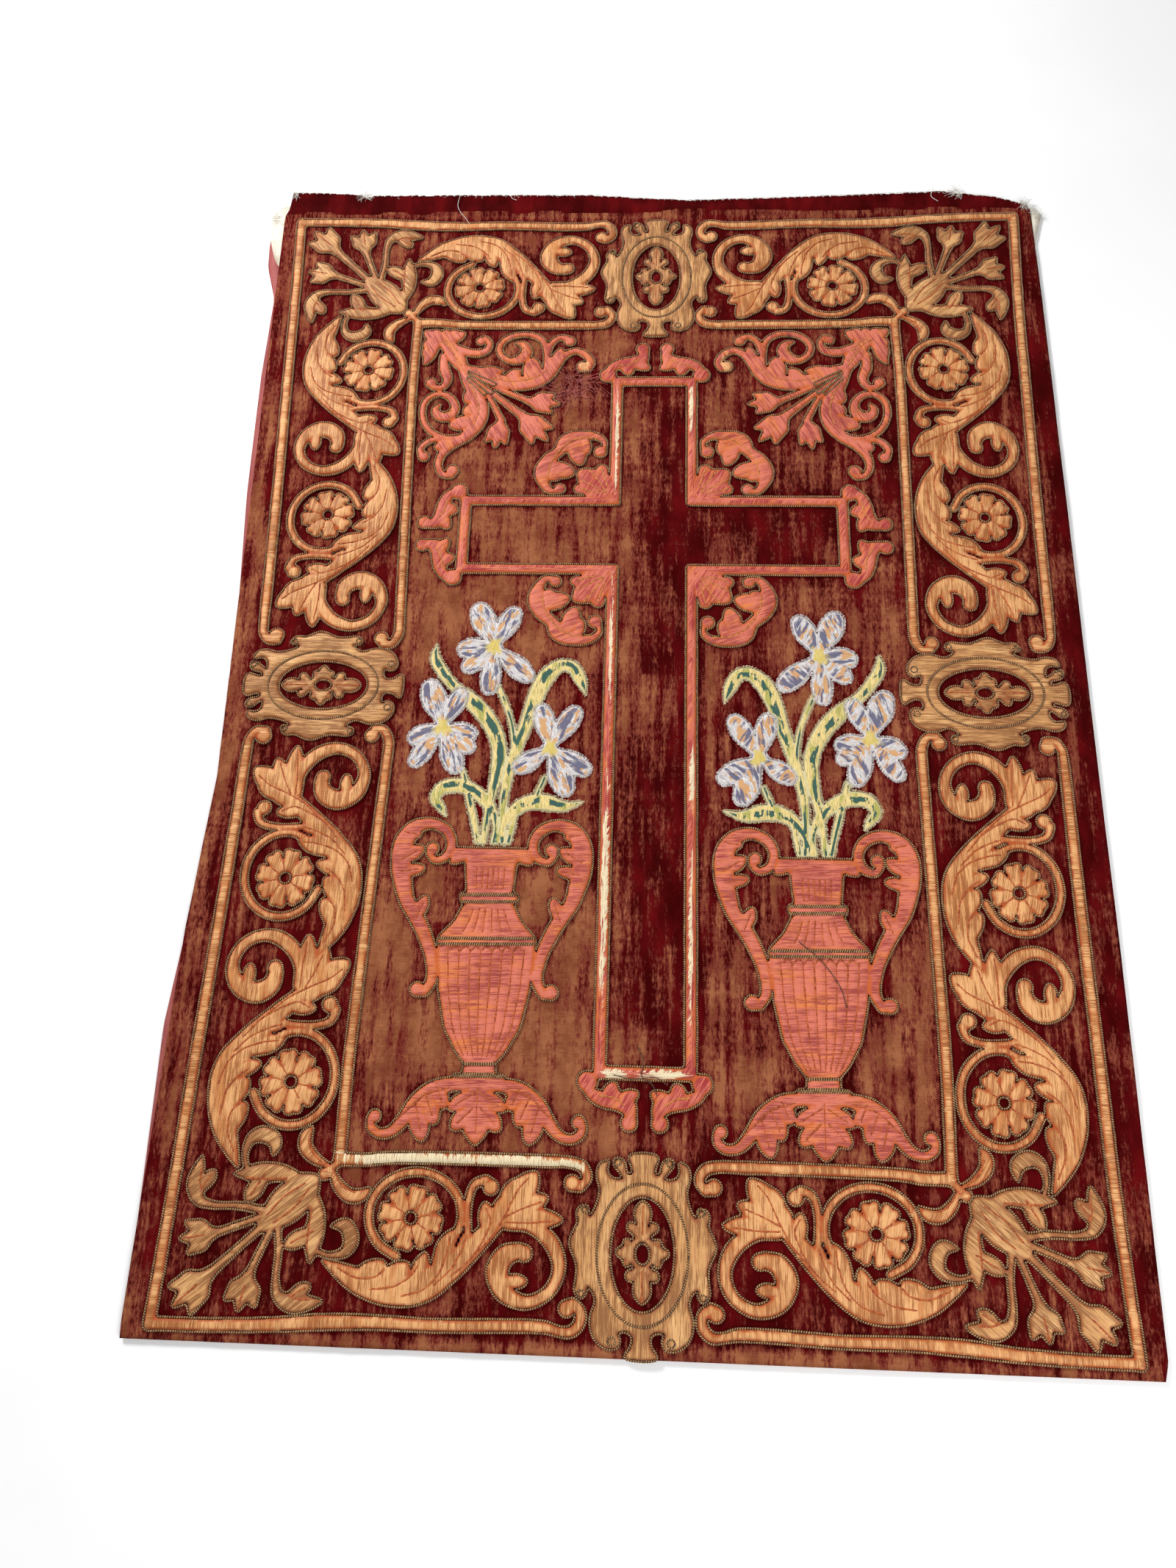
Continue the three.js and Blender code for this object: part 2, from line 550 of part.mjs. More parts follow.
for (const [corner, place] of Object.entries(CORNERS))
  applique("cross_scroll_" + corner, "pink_silk", { outlines: cScroll }, place);

// The spray in each upper corner of the field: a crown, two leafy scrolls and three buds on stems.
const spray = {
  outlines: [
    ribbon(rows("x y w", [-326, 562, 12], [-310, 560, 22], [-297, 545, 24], [-285, 525, 24],
      [-276, 508, 14])),
    ...lobes(rows("x y tipX tipY wide", [-312, 560, -340, 574, 18], [-310, 562, -326, 576, 16],
      [-306, 562, -306, 576, 16], [-302, 560, -288, 576, 16], [-300, 558, -277, 572, 18],
      [-320, 560, -338, 548, 16], [-320, 556, -337, 530, 18], [-318, 552, -335, 514, 16])),
    ribbon(rows("x y w", [-298, 550, 12], [-281, 541, 13], [-260, 535, 13], [-243, 540, 11], [-239, 553, 9],
      [-246, 562, 9])),
    disc(-252, 557, 7),
    ribbon(rows("x y w", [-306, 530, 12], [-304, 508, 15], [-298, 490, 13], [-304, 476, 10], [-318, 475, 9])),
    disc(-322, 483, 8),
    ribbon(rows("x y w", [-276, 511, 8], [-252, 501, 18], [-225, 488, 22], [-195, 482, 24], [-166, 488, 25],
      [-148, 501, 20], [-137, 517, 15], [-125, 532, 11], [-110, 539, 10], [-95, 532, 11], [-87, 518, 11],
      [-92, 508, 11])),
    disc(-99, 511, 9),
    ...lobes(rows("x y tipX tipY wide", [-254, 504, -214, 503, 16], [-210, 486, -191, 505, 20],
      [-174, 488, -173, 526, 27], [-152, 500, -143, 530, 18], [-140, 512, -131, 545, 17])),
    ribbon(rows("x y w", [-153, 500, 10], [-153, 532, 9], [-159, 556, 9], [-175, 567, 9], [-196, 568, 9],
      [-215, 560, 9], [-224, 545, 9], [-219, 530, 9], [-206, 522, 11], [-192, 525, 17], [-183, 538, 17],
      [-188, 550, 11], [-200, 554, 3])),
    ribbon(rows("x y w", [-152, 532, 8], [-146, 553, 9], [-134, 563, 9], [-123, 561, 10])),
    disc(-119, 556, 8),
    ribbon(rows("x y w", [-279, 508, 8], [-268, 486, 16], [-255, 462, 22], [-247, 436, 26], [-251, 412, 24],
      [-264, 392, 18], [-282, 378, 14], [-297, 361, 12], [-301, 342, 10], [-293, 327, 9], [-281, 325, 9])),
    disc(-280, 334, 9),
    ...lobes(rows("x y tipX tipY wide", [-258, 474, -268, 448, 18], [-250, 444, -269, 430, 20],
      [-252, 418, -290, 409, 24], [-284, 382, -308, 371, 18])),
    ribbon(rows("x y w", [-262, 391, 8], [-293, 388, 9], [-312, 396, 9], [-326, 413, 9], [-331, 433, 9],
      [-327, 452, 9], [-313, 463, 9], [-297, 461, 10], [-286, 450, 11], [-284, 436, 14], [-293, 425, 17],
      [-306, 426, 15], [-312, 437, 10], [-305, 446, 3])),
    ribbon(rows("x y w", [-300, 387, 8], [-318, 383, 9], [-329, 370, 9], [-327, 360, 9])),
    disc(-323, 357, 8),
    ribbon(rows("x y w", [-275, 508, 7], [-224, 475, 8], [-172, 450, 9])),
    bud(-180, 452, -128, 446, 36),
    ribbon(rows("x y w", [-276, 506, 8], [-226, 462, 8], [-182, 424, 12])),
    bud(-188, 430, -144, 382, 42),
    ribbon(rows("x y w", [-277, 505, 7], [-236, 460, 7], [-214, 418, 9])),
    bud(-214, 422, -222, 368, 34),
  ],
};
applique("spray_left", "pink_silk", spray, (p) => p);
const RIGHT_SPRAY_WIDTH = 0.985;
applique("spray_right", "pink_silk", spray,
  (p) => at(MIDDLE_X + (MIDDLE_X - p.x) * RIGHT_SPRAY_WIDTH, p.y));

// The urn about its own axis: a turned outline, two scrolled handles and a leafy foot.
const urnProfile = rows("half y", [44, -221], [52, -228], [53, -243], [42, -242], [33, -238], [29, -279],
  [36, -280], [36, -291], [31, -293], [42, -315], [61, -336], [60, -362], [56, -400], [46, -445],
  [31, -472],
  [19, -486], [20, -500], [31, -500], [31, -510]);
const handle = [
  disc(-76, -223, 8),
  ribbon(rows("x y w", [-80, -229, 8], [-72, -238, 9], [-58, -233, 11], [-52, -216, 12], [-60, -199, 13],
    [-80, -190, 14], [-101, -196, 19], [-113, -215, 25], [-115, -244, 25], [-110, -270, 22], [-103, -292, 18],
    [-90, -312, 18], [-78, -334, 17], [-68, -360, 15], [-65, -388, 13], [-73, -404, 11])),
  disc(-82, -401, 9),
  ...lobes(rows("x y tipX tipY wide", [-112, -202, -92, -206, 13], [-114, -238, -87, -221, 19],
    [-112, -254, -83, -248, 15], [-90, -312, -79, -284, 16])),
];
const foot = [
  ribbon(rows("x y w", [0, -508, 24], [0, -530, 30], [0, -560, 34], [0, -586, 1])),
  ribbon(rows("x y w", [0, -514, 16], [-30, -512, 16], [-55, -519, 22], [-76, -535, 22], [-92, -556, 17],
    [-106, -571, 13], [-121, -575, 11], [-133, -568, 11], [-135, -558, 10])),
  disc(-130, -554, 8),
  ...lobes(rows("x y tipX tipY wide", [-52, -518, -42, -542, 20], [-66, -528, -52, -562, 22],
    [-78, -540, -67, -583, 25], [-6, -524, -37, -543, 20], [-6, -542, -31, -567, 22])),
];
const acrossAxis = (outline) => outline.map((p) => at(-p.x, p.y));
const FOOT = { top: -507, flatter: 0.93, narrower: 0.93 };
const lowered = (outline) => outline.map((p) => at(
  p.x * FOOT.narrower, FOOT.top + (p.y - FOOT.top) * FOOT.flatter));
const urn = {
  outlines: [
    [...urnProfile.map((p) => at(p.half, p.y)), ...urnProfile.map((p) => at(-p.half, p.y)).reverse()],
    ...handle, ...handle.map(acrossAxis),
    ...[...foot, ...foot.map(acrossAxis)].map(lowered),
  ],
};
const URNS = { left: { x: -191, y: 0 }, right: { x: 217, y: -6 } };
for (const [side, axis] of Object.entries(URNS))
  applique("urn_" + side, "pink_silk", urn, (p) => at(axis.x + p.x, axis.y + p.y));

// Irises: a few broad petals round a heart, each with its own angle in degrees, length and width.
const IRISES = {
  upper: { x: -204, y: 59, petals: rows("angle long wide", [113, 66, 35], [64, 62, 31], [186, 44, 33],
    [222, 50, 28], [-42, 70, 31], [-93, 68, 29]) },
  outer: { x: -266, y: -57, petals: rows("angle long wide", [110, 66, 36], [66, 58, 27], [205, 44, 30],
    [236, 66, 27], [-14, 44, 26], [-38, 52, 26], [-70, 66, 31]) },
  inner: { x: -123, y: -85, petals: rows("angle long wide", [103, 60, 29], [58, 66, 30], [215, 52, 28],
    [-32, 60, 30], [-68, 66, 34]) },
};
function petalOutline(x, y, angle, long, wide) {
  const shape = rows("far out", [0, 0.45], [0.35, 0.9], [0.7, 1], [0.94, 0.55]);
  const turn = THREE.MathUtils.degToRad(angle);
  const spot = (far, out) => at(far * long, (out * wide) / 2).rotateAround(at(0, 0), turn).add(at(x, y));
  return [...shape.map((s) => spot(s.far, s.out)), ...shape.map((s) => spot(s.far, -s.out)).reverse()];
}
const IRIS_HEART = 10;
const irisOutlines = ({ x, y, petals }, grow = 0) => [
  disc(x, y, IRIS_HEART + grow),
  ...petals.map((p) => petalOutline(x, y, p.angle, p.long + grow, p.wide + 2 * grow)),
];

// Sword leaves and stems rise from the urn's mouth and pass under the flowers.
const leaves = [
  ribbon(rows("x y w", [-282, 63, 1], [-283, 42, 14], [-272, 22, 16], [-256, 2, 15], [-228, -22, 22],
    [-204, -50, 22], [-190, -84, 20], [-190, -118, 18], [-196, -150, 12], [-200, -180, 10], [-203, -213, 9])),
  ribbon(rows("x y w", [-178, -213, 9], [-180, -170, 10], [-177, -130, 14], [-166, -84, 16], [-154, -46, 18],
    [-143, -8, 22], [-130, 18, 23], [-112, 33, 18], [-98, 31, 17], [-87, 14, 17], [-78, -10, 1])),
  ribbon(rows("x y w", [-252, -182, 1], [-260, -169, 11], [-269, -156, 14], [-260, -142, 18],
    [-240, -138, 20], [-215, -148, 18], [-196, -168, 14], [-188, -190, 9], [-190, -213, 8])),
  ribbon(rows("x y w", [-186, -213, 8], [-180, -195, 10], [-168, -174, 16], [-150, -161, 20],
    [-126, -159, 22], [-104, -164, 15], [-90, -162, 9], [-74, -156, 1])),
  ribbon(rows("x y w", [-197, 4, 8], [-181, -32, 8], [-172, -66, 8], [-171, -98, 8], [-178, -130, 8])),
  ribbon(rows("x y w", [-244, -98, 8], [-231, -132, 9], [-222, -165, 10], [-214, -195, 9], [-210, -213, 9])),
  ribbon(rows("x y w", [-128, -126, 8], [-140, -156, 8])),
  ribbon(rows("x y w", [-164, -174, 8], [-168, -196, 9], [-171, -213, 8])),
];
const RIGHT_BUNCH_DROP = 9;
const BUNCHES = {
  left: (p) => p,
  right: (p) => at(URNS.left.x + URNS.right.x - p.x, p.y - RIGHT_BUNCH_DROP),
};
const CLEAR = 0.6;
for (const [side, place] of Object.entries(BUNCHES)) {
  let bunch = plainerPlate(padded({ outlines: leaves }, place, FLAT_SILK), FACE, FACE + FLAT_SILK);
  for (const [which, flower] of Object.entries(IRISES)) {
    applique("iris_" + which + "_" + side, "iris_white", { outlines: irisOutlines(flower) },
      place, FLAT_SILK);
    bunch = bunch.subtract(padded({ outlines: irisOutlines(flower, CLEAR) }, place, PADDED));
  }
  const [largest] = bunch.decompose().sort((a, b) => b.volume() - a.volume());
  addPiece("leaves_" + side, "leaf_green", geometryOf(largest));
}

// The origin is under the middle of the cloth, on the surface.
frontal.children.forEach((mesh) =>
  mesh.position.set(-(LEFT_X + RIGHT_X) / 2, -(BOTTOM_Y + TOP_Y) / 2, 0));

export default frontal;
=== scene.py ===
import math

import bpy
import numpy as np
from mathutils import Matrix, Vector
from mathutils.geometry import tessellate_polygon


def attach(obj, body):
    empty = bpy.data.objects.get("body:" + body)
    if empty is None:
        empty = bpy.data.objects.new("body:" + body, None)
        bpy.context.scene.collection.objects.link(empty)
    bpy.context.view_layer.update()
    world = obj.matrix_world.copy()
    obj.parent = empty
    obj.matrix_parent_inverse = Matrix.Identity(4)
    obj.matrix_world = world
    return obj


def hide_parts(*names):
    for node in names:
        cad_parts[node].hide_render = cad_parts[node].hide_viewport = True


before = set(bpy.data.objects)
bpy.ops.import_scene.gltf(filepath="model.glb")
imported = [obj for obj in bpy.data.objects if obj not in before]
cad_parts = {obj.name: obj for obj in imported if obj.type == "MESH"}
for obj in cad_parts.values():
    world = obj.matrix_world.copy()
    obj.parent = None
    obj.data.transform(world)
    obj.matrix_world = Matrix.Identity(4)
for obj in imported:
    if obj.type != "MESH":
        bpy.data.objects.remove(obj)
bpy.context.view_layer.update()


# The lining: a thin rose silk that backs the whole frontal and shows as a narrow edge down its left
# side. It is cut a little wider than the face there, is sewn to it round the edges, and lies flat.
# The design is drawn in millimetres about the middle of the outer bars' rectangle, which lies here in
# the part's frame.
DESIGN_TO_FRAME = (3.5, -22.5)
LINING_TOP = 1.0
LINING_SIDES = ("y left right", [-794, -580, 571], [-600, -582, 573], [-450, -584, 573], [-330, -573, 573],
    [-130, -556, 573], [0, -558, 572], [300, -576, 572], [500, -580, 572], [640, -577, 571], [700, -594, 571],
    [750, -597, 571], [788, -575, 570])
ROSE = (0.40, 0.10, 0.085)
ROSE_SHADE = (0.22, 0.025, 0.03)


def rows(columns, *values):
    return [dict(zip(columns.split(), row)) for row in values]


def column(table, name):
    return np.array([row[name] for row in table], float)


def uneven(x, y, across, along, seed):
    """Smooth unevenness from -1 to 1, with bumps about across wide and along high."""
    grid = np.random.default_rng(seed).uniform(-1, 1, (64, 64))
    i, j = np.floor(x / across).astype(int), np.floor(y / along).astype(int)
    u, v = x / across - i, y / along - j
    u, v = u * u * (3 - 2 * u), v * v * (3 - 2 * v)
    low = grid[j % 64, i % 64] * (1 - u) + grid[j % 64, (i + 1) % 64] * u
    high = grid[(j + 1) % 64, i % 64] * (1 - u) + grid[(j + 1) % 64, (i + 1) % 64] * u
    return low * (1 - v) + high * v


def piece(name, points, faces, material):
    """A mesh object from points in design millimetres."""
    mesh = bpy.data.meshes.new(name)
    placed = (np.asarray(points, float) + (*DESIGN_TO_FRAME, 0)) / 1000
    mesh.from_pydata(placed, [], faces)
    mesh.materials.append(material)
    mesh.shade_smooth()
    made = bpy.data.objects.new(name, mesh)
    bpy.context.scene.collection.objects.link(made)
    return made


def cloth(name, sides, cell, low, high, material, lift, top=None):
    """A closed thin sheet between its left and right edges, with a fine face and a plain back."""
    sides = rows(*sides)
    level, left, right = (column(sides, name) for name in ("y", "left", "right"))
    across = round((right.max() - left.min()) / cell)
    along = round(np.ptp(level) / cell)
    up, over = np.meshgrid(np.linspace(0, 1, along + 1), np.linspace(0, 1, across + 1), indexing="ij")
    y = level[0] + up * np.ptp(level)
    x = np.interp(y, level, left) * (1 - over) + np.interp(y, level, right) * over
    if top:
        y = top(x, y)
    face = np.stack([x, y, high + lift(x, y)], -1).reshape(-1, 3)
    spot = np.arange(len(face)).reshape(x.shape)
    rim = np.concatenate([spot[0, :-1], spot[:-1, -1], spot[-1, :0:-1], spot[:0:-1, 0]])
    under = face[rim] * (1, 1, 0) + (0, 0, low)
    quads = np.stack([spot[:-1, :-1], spot[:-1, 1:], spot[1:, 1:], spot[1:, :-1]], -1).reshape(-1, 4)
    back = len(face) + np.arange(len(rim))
    walls = np.stack([back, np.roll(back, -1), np.roll(rim, -1), rim], -1)
    faces = [*quads.tolist(), *walls.tolist(), back[::-1].tolist()]
    return piece(name, np.vstack([face, under]), faces, material)


def add_node(tree, kind, sockets=None, **settings):
    """One node, with each given socket set to a value or joined to another node's output."""
    made = tree.nodes.new(kind)
    for key, value in settings.items():
        setattr(made, key, value)
    for key, value in (sockets or {}).items():
        if isinstance(value, bpy.types.NodeSocket):
            tree.links.new(value, made.inputs[key])
        else:
            made.inputs[key].default_value = value
    return made


def node(source, kind, sockets=None, **settings):
    """One shader node in a tree, given as the tree itself or as any socket in it."""
    return add_node(source.id_data, "ShaderNode" + kind, sockets, **settings)


def grain(source, stretch, detail=4, rough=0.6):
    """Noise whose grain has so many spots to the metre along each axis of its source."""
    scaled = node(source, "Mapping", {"Vector": source, "Scale": stretch})
    return node(source, "TexNoise", {"Vector": scaled.outputs[0], "Scale": 1.0, "Detail": detail,
        "Roughness": rough}).outputs["Fac"]


def sums(operation, *values):
    source = next(value for value in values if isinstance(value, bpy.types.NodeSocket))
    return node(source, "Math", dict(enumerate(values)), operation=operation).outputs[0]


def weighed(*shares):
    """The sum of several values, each times its share."""
    total = 0
    for value, share in shares:
        total = sums("MULTIPLY_ADD", value, share, total)
    return total


def between(value, low, high):
    """Rises smoothly from 0 to 1 as the value goes from low to high, or falls where low is above high."""
    down = low > high
    made = node(value, "MapRange", {"Value": value, "From Min": min(low, high), "From Max": max(low, high),
        "To Min": 1.0 if down else 0.0, "To Max": 0.0 if down else 1.0}, interpolation_type="SMOOTHSTEP")
    return made.outputs[0]


def mixed(amount, first, second):
    first, second = (colour if isinstance(colour, bpy.types.NodeSocket) else (*colour, 1)
        for colour in (first, second))
    return node(amount, "Mix", {0: amount, 6: first, 7: second}, data_type="RGBA").outputs[2]


def finish_of(name, sheen=0.0, roughness=0.6, sheen_tint=(1, 1, 1), gloss=0.15):
    """A new material, with what is the same all over set on the shader itself, and its Object coordinates."""
    material = bpy.data.materials.new(name)
    material.use_nodes = True
    shader = material.node_tree.nodes["Principled BSDF"]
    for socket, value in (("Roughness", roughness), ("Specular IOR Level", gloss), ("Sheen Weight", sheen),
            ("Sheen Roughness", 0.5), ("Sheen Tint", (*sheen_tint, 1))):
        shader.inputs[socket].default_value = value
    return material, node(material.node_tree, "TexCoord").outputs["Object"]


def kept_on_mesh(spot, name):
    return node(spot, "Attribute", attribute_name=name).outputs["Fac"]


def dressed(material, colour, height=None, depth=0.0, strength=1.0):
    """Gives a new material its colour and its fine relief."""
    tree = material.node_tree
    shader = tree.nodes["Principled BSDF"]
    tree.links.new(colour, shader.inputs["Base Color"])
    if height is not None:
        bump = node(tree, "Bump", {"Height": height, "Distance": depth, "Strength": strength})
        tree.links.new(bump.outputs[0], shader.inputs["Normal"])
    return material


def plain_weave(name, light, dark, yarns, streak, bump):
    """A plain woven cloth: fine yarns both ways, slow changes of tone and streaks along the warp."""
    material, spot = finish_of(name, sheen=0.15)
    warp = grain(spot, (yarns, yarns / 30, 1), 2)
    weft = grain(spot, (yarns / 30, yarns, 1), 2)
    woven = weighed((warp, 0.5), (weft, 0.5))
    tone = weighed((woven, 0.5), (grain(spot, streak, 5), 0.6))
    return dressed(material, mixed(between(tone, 0.38, 0.68), dark, light), woven, bump)


LINING_SILK = plain_weave("rose_lining_silk", ROSE, ROSE_SHADE, 900, (60, 9, 1), 0.0003)
lining = cloth("lining_silk", LINING_SIDES, 12, 0, LINING_TOP, LINING_SILK,
    lift=lambda x, y: 0.25 + 0.25 * uneven(x, y, 23, 40, 2))
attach(lining, "root")
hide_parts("lining")


# The interlining: unbleached linen that stiffens the velvet. It is tacked between face and lining,
# and shows where the velvet has shrunk back from both top corners, creased and a little soiled.
INTERLINING_SIDES = ("y left right", [-793, -574, 570], [-330, -567, 572], [-130, -555, 572], [0, -557, 571],
    [400, -565, 571], [690, -569, 570], [712, -584, 573], [745, -594, 579], [790, -598, 591],
    [803, -597, 580], [818, -578, 530])
INTERLINING_LOW, INTERLINING_TOP = 1.3, 2.3
LINEN, LINEN_SOILED = (0.83, 0.78, 0.66), (0.42, 0.34, 0.24)
LINEN_CLOTH = plain_weave("unbleached_linen", LINEN, LINEN_SOILED, 520, (24, 14, 1), 0.0005)


def corner_creases(x, y):
    corner = np.clip((y - 650) / 60, 0, 1)
    return 0.15 + corner * (0.5 + 0.6 * np.sin(x / 5 + 3 * uneven(x, y, 20, 30, 4)) * uneven(x, y, 14, 60, 5))


interlining = cloth("interlining_linen", INTERLINING_SIDES, 10, INTERLINING_LOW, INTERLINING_TOP, LINEN_CLOTH,
    lift=corner_creases)
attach(interlining, "root")
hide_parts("interlining")


# The face: two loom widths of crimson silk velvet joined by a middle seam, with the turning along the
# top edge let out. The pile is rubbed away to the brown silk ground wherever no sewn piece covers it, and
# its deeper crimson round the pieces is partly kept pile and partly painted contact shade.
FOLD_Y = 797
TOP_Y = 844
VELVET_LOW, VELVET_TOP = 2.6, 4.6
VELVET_SIDES = ("y left right", [-799, -581, 572], [-780, -582, 577], [-330, -573, 578], [-130, -560, 577],
    [200, -566, 577], [650, -575, 576], [789, -577, 574], [FOLD_Y, -576, 573], [805, -572, 572],
    [TOP_Y, -569, 569])
TOP_EDGE = rows("x y", [-569, 843], [-520, 842], [-460, 839], [-450, 833], [-438, 836], [-300, 835],
    [-100, 833], [0, 825], [60, 821], [200, 825], [300, 828], [400, 832], [450, 833], [468, 830], [520, 823],
    [550, 813], [569, 806])
PILE, PILE_LIT = (0.036, 0.0005, 0.0008), (0.135, 0.0035, 0.005)
FADED, FADED_LIT = (0.12, 0.015, 0.011), (0.26, 0.06, 0.036)
GROUND, GROUND_LIT = (0.165, 0.043, 0.018), (0.33, 0.118, 0.052)
RIPPLE = 0.35
SEAM_X = 52
# Places that kept more of their pile (more above 0) or less of it, as soft ovals.
KEPT_PILE = rows("x y wide high more", [30, -20, 48, 580, 0.5], [10, -380, 60, 230, 0.3],
    [150, 232, 150, 60, 0.35], [568, 100, 16, 760, 0.5], [-565, -100, 20, 700, -0.12],
    [-20, 60, 26, 420, -0.1], [-270, 270, 90, 60, -0.25], [-190, 120, 120, 60, -0.25],
    [-100, -420, 60, 200, -0.3], [-275, -420, 50, 210, -0.25], [-140, 785, 500, 14, -0.1],
    [-230, 740, 180, 30, -0.15], [250, 400, 190, 260, 0.3], [120, -100, 50, 260, 0.25],
    [310, -130, 60, 260, 0.2], [-40, 490, 60, 40, 0.2], [0, -585, 70, 30, -0.2], [-440, 40, 130, 60, 0.1],
    [-548, 0, 20, 300, -0.2], [470, 330, 60, 240, 0.08], [0, 826, 600, 16, 0.8], [-220, 440, 90, 90, 0.2],
    [0, -797, 600, 12, -0.4], [0, -475, 50, 36, -0.6], [210, -470, 150, 90, 0.02], [0, 545, 300, 25, -0.15])
# Long creases pressed in by folding: from one end to the other, with how wide and deep each one is.
CREASES = rows("x y toX toY wide deep", [-150, 70, -62, -40, 5, 0.9], [-175, 215, -120, 60, 6, 0.5],
    [-560, 90, -350, 84, 5, 0.5], [-555, -88, -350, -92, 5, 0.5], [-90, -250, -75, -420, 6, 0.6],
    [-330, 790, -280, 752, 5, 0.9], [-420, 764, -250, 752, 4, 0.8], [120, 200, 330, 150, 7, 0.4],
    [-560, 360, -556, -300, 4, 0.6], [95, 240, 250, 250, 6, 0.4], [-40, -560, 30, -600, 6, 0.6],
    [90, 770, 330, 776, 5, 0.6], [-578, 10, -520, 40, 6, 0.6], [-578, -30, -520, -10, 6, 0.6])


def ragged_top(x, y):
    """Brings the let out turning to its uneven cut edge."""
    edge = np.interp(x, column(TOP_EDGE, "x"), column(TOP_EDGE, "y")) + 1.2 * uneven(x, 0 * x, 5, 1, 9)
    return np.where(y > FOLD_Y, FOLD_Y + (y - FOLD_Y) * (edge - FOLD_Y) / (TOP_Y - FOLD_Y), y)


def velvet_lift(x, y):
    """Ripples, the bulge and cockling of the turning, the pressed creases and the sunken middle seam."""
    turning = 1.5 * np.exp(-(((y - FOLD_Y - 6) / 8) ** 2)) * (1 + 0.35 * np.sin(x / 47))
    strip = np.clip((y - FOLD_Y) / 4, 0, 1) * (0.4 + 0.5 * uneven(x, y, 31, 12, 12))
    lift = RIPPLE * (uneven(x, y, 19, 46, 10) + 0.6 * uneven(x, y, 9, 17, 11)) + turning + strip
    for crease in CREASES:
        run = np.array([crease["toX"] - crease["x"], crease["toY"] - crease["y"]])
        far = np.clip(((x - crease["x"]) * run[0] + (y - crease["y"]) * run[1]) / (run @ run), 0, 1)
        off = np.hypot(x - crease["x"] - far * run[0], y - crease["y"] - far * run[1])
        lift -= crease["deep"] * (np.exp(-((off / crease["wide"]) ** 2)) - 0.6 * np.exp(
            -(((off - 1.6 * crease["wide"]) / crease["wide"]) ** 2)))
    seam = np.exp(-(((x - SEAM_X) / 2.2) ** 2)) * (y < FOLD_Y)
    return np.clip(lift - 0.5 * seam, -1.2, 2.6)


def worn_velvet():
    material, spot = finish_of("worn_crimson_velvet", sheen=0.03, roughness=0.9,
        sheen_tint=(1, 0.2, 0.15), gloss=0.02)
    # The kept pile attribute: crimson pile that was never rubbed, and painted contact shade round the sewn
    # pieces.
    kept_pile_and_shade = kept_on_mesh(spot, "KeptPileAndShade")
    fresh = kept_on_mesh(spot, "Fresh")
    rubbed = weighed((grain(spot, (95, 9, 1), 7), 0.38), (grain(spot, (10, 80, 1), 5), 0.1),
        (grain(spot, (16, 10, 1), 8), 0.28), (grain(spot, (420, 130, 1), 4), 0.24), (kept_pile_and_shade, -0.12),
        (fresh, -1))
    faded, bare = between(rubbed, 0.42, 0.485), between(rubbed, 0.47, 0.54)
    fibres = grain(spot, (1500, 900, 1), 2)
    ribs = grain(spot, (60, 1300, 1), 2)
    brushed = weighed((fibres, 0.4), (grain(spot, (30, 12, 1), 5), 0.6))
    pile = mixed(between(brushed, 0.4, 0.68), PILE, PILE_LIT)
    woven = weighed((ribs, 0.25), (grain(spot, (26, 20, 1), 7, 0.7), 0.75))
    backing = mixed(between(woven, 0.36, 0.62), GROUND, GROUND_LIT)
    stubble = mixed(between(fibres, 0.4, 0.65), FADED, FADED_LIT)
    tucks = grain(spot, (55, 11, 1), 3, 0.4)
    height = weighed((tucks, 3.0), (fibres, 0.35), (faded, -1))
    return dressed(material, mixed(bare, mixed(faded, pile, stubble), backing), height, 0.0006, 0.8)


VELVET = worn_velvet()
velvet = cloth("velvet_face", VELVET_SIDES, 5.2, VELVET_LOW, VELVET_TOP, VELVET, lift=velvet_lift,
    top=ragged_top)
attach(velvet, "root")
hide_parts("velvet_ground")


# The outer bars: strips of gold silk wrapped crossways over a padded core of cotton, sewn down and
# edged with couched cord. They frame the border, and each quarter's strips end in curled hooks.
PAD_LOW, PAD_HIGH = VELVET_TOP + 0.05, 8.8
# The spacing of the mesh, how far in from its edge a pad reaches its full height, and how far from a
# shape its depth is still measured.
CELL, SHOULDER, BEYOND = 2.5, 7.0, 8.0
CORD_LEVEL = 6.0
CORD_STEP, CORD_RADIUS, CORD_PITCH = 0.0038, 0.0013, 0.0028
GOLD, GOLD_SHADE, RED_EDGE = (0.77, 0.40, 0.165), (0.34, 0.115, 0.034), (0.40, 0.07, 0.014)
GOLD_TINT = (0.60, 0.24, 0.08)
COTTON = (0.80, 0.68, 0.44)
BAR = 13
MIDDLE_X = 7


def smoothed(points, steps=8):
    """A centripetal Catmull-Rom line through the points."""
    ends = np.vstack([2 * points[0] - points[1], points, 2 * points[-1] - points[-2]])
    gaps = np.maximum(np.linalg.norm(np.diff(ends, axis=0), axis=1), 1e-4) ** 0.5
    line = []
    t = np.linspace(0, 1, steps, endpoint=False)[:, None]
    for i in range(1, len(ends) - 2):
        a, b, c, d = ends[i - 1 : i + 3]
        before, here, after = gaps[i - 1 : i + 2]
        leave = ((b - a) / before - (c - a) / (before + here) + (c - b) / here) * here
        reach = ((c - b) / here - (d - b) / (here + after) + (d - c) / after) * here
        line.append(b + leave * t + (3 * (c - b) - 2 * leave - reach) * t**2
            + (2 * (b - c) + leave + reach) * t**3)
    return np.vstack([*line, points[-1:]])


def strand(*points, lay=None):
    """A strip along a smooth line through points of x, y and width. lay turns its fibres, in degrees."""
    points = smoothed(np.array(points, float) * (1, 1, 0.5))
    return {"line": points[:, :2], "half": np.maximum(points[:, 2], 0.4), "lay": lay}


def bulb(x, y, r, lay=None):
    return {"line": np.array([[x, y], [x + 0.01, y]]), "half": np.array([r, r], float), "lay": lay}


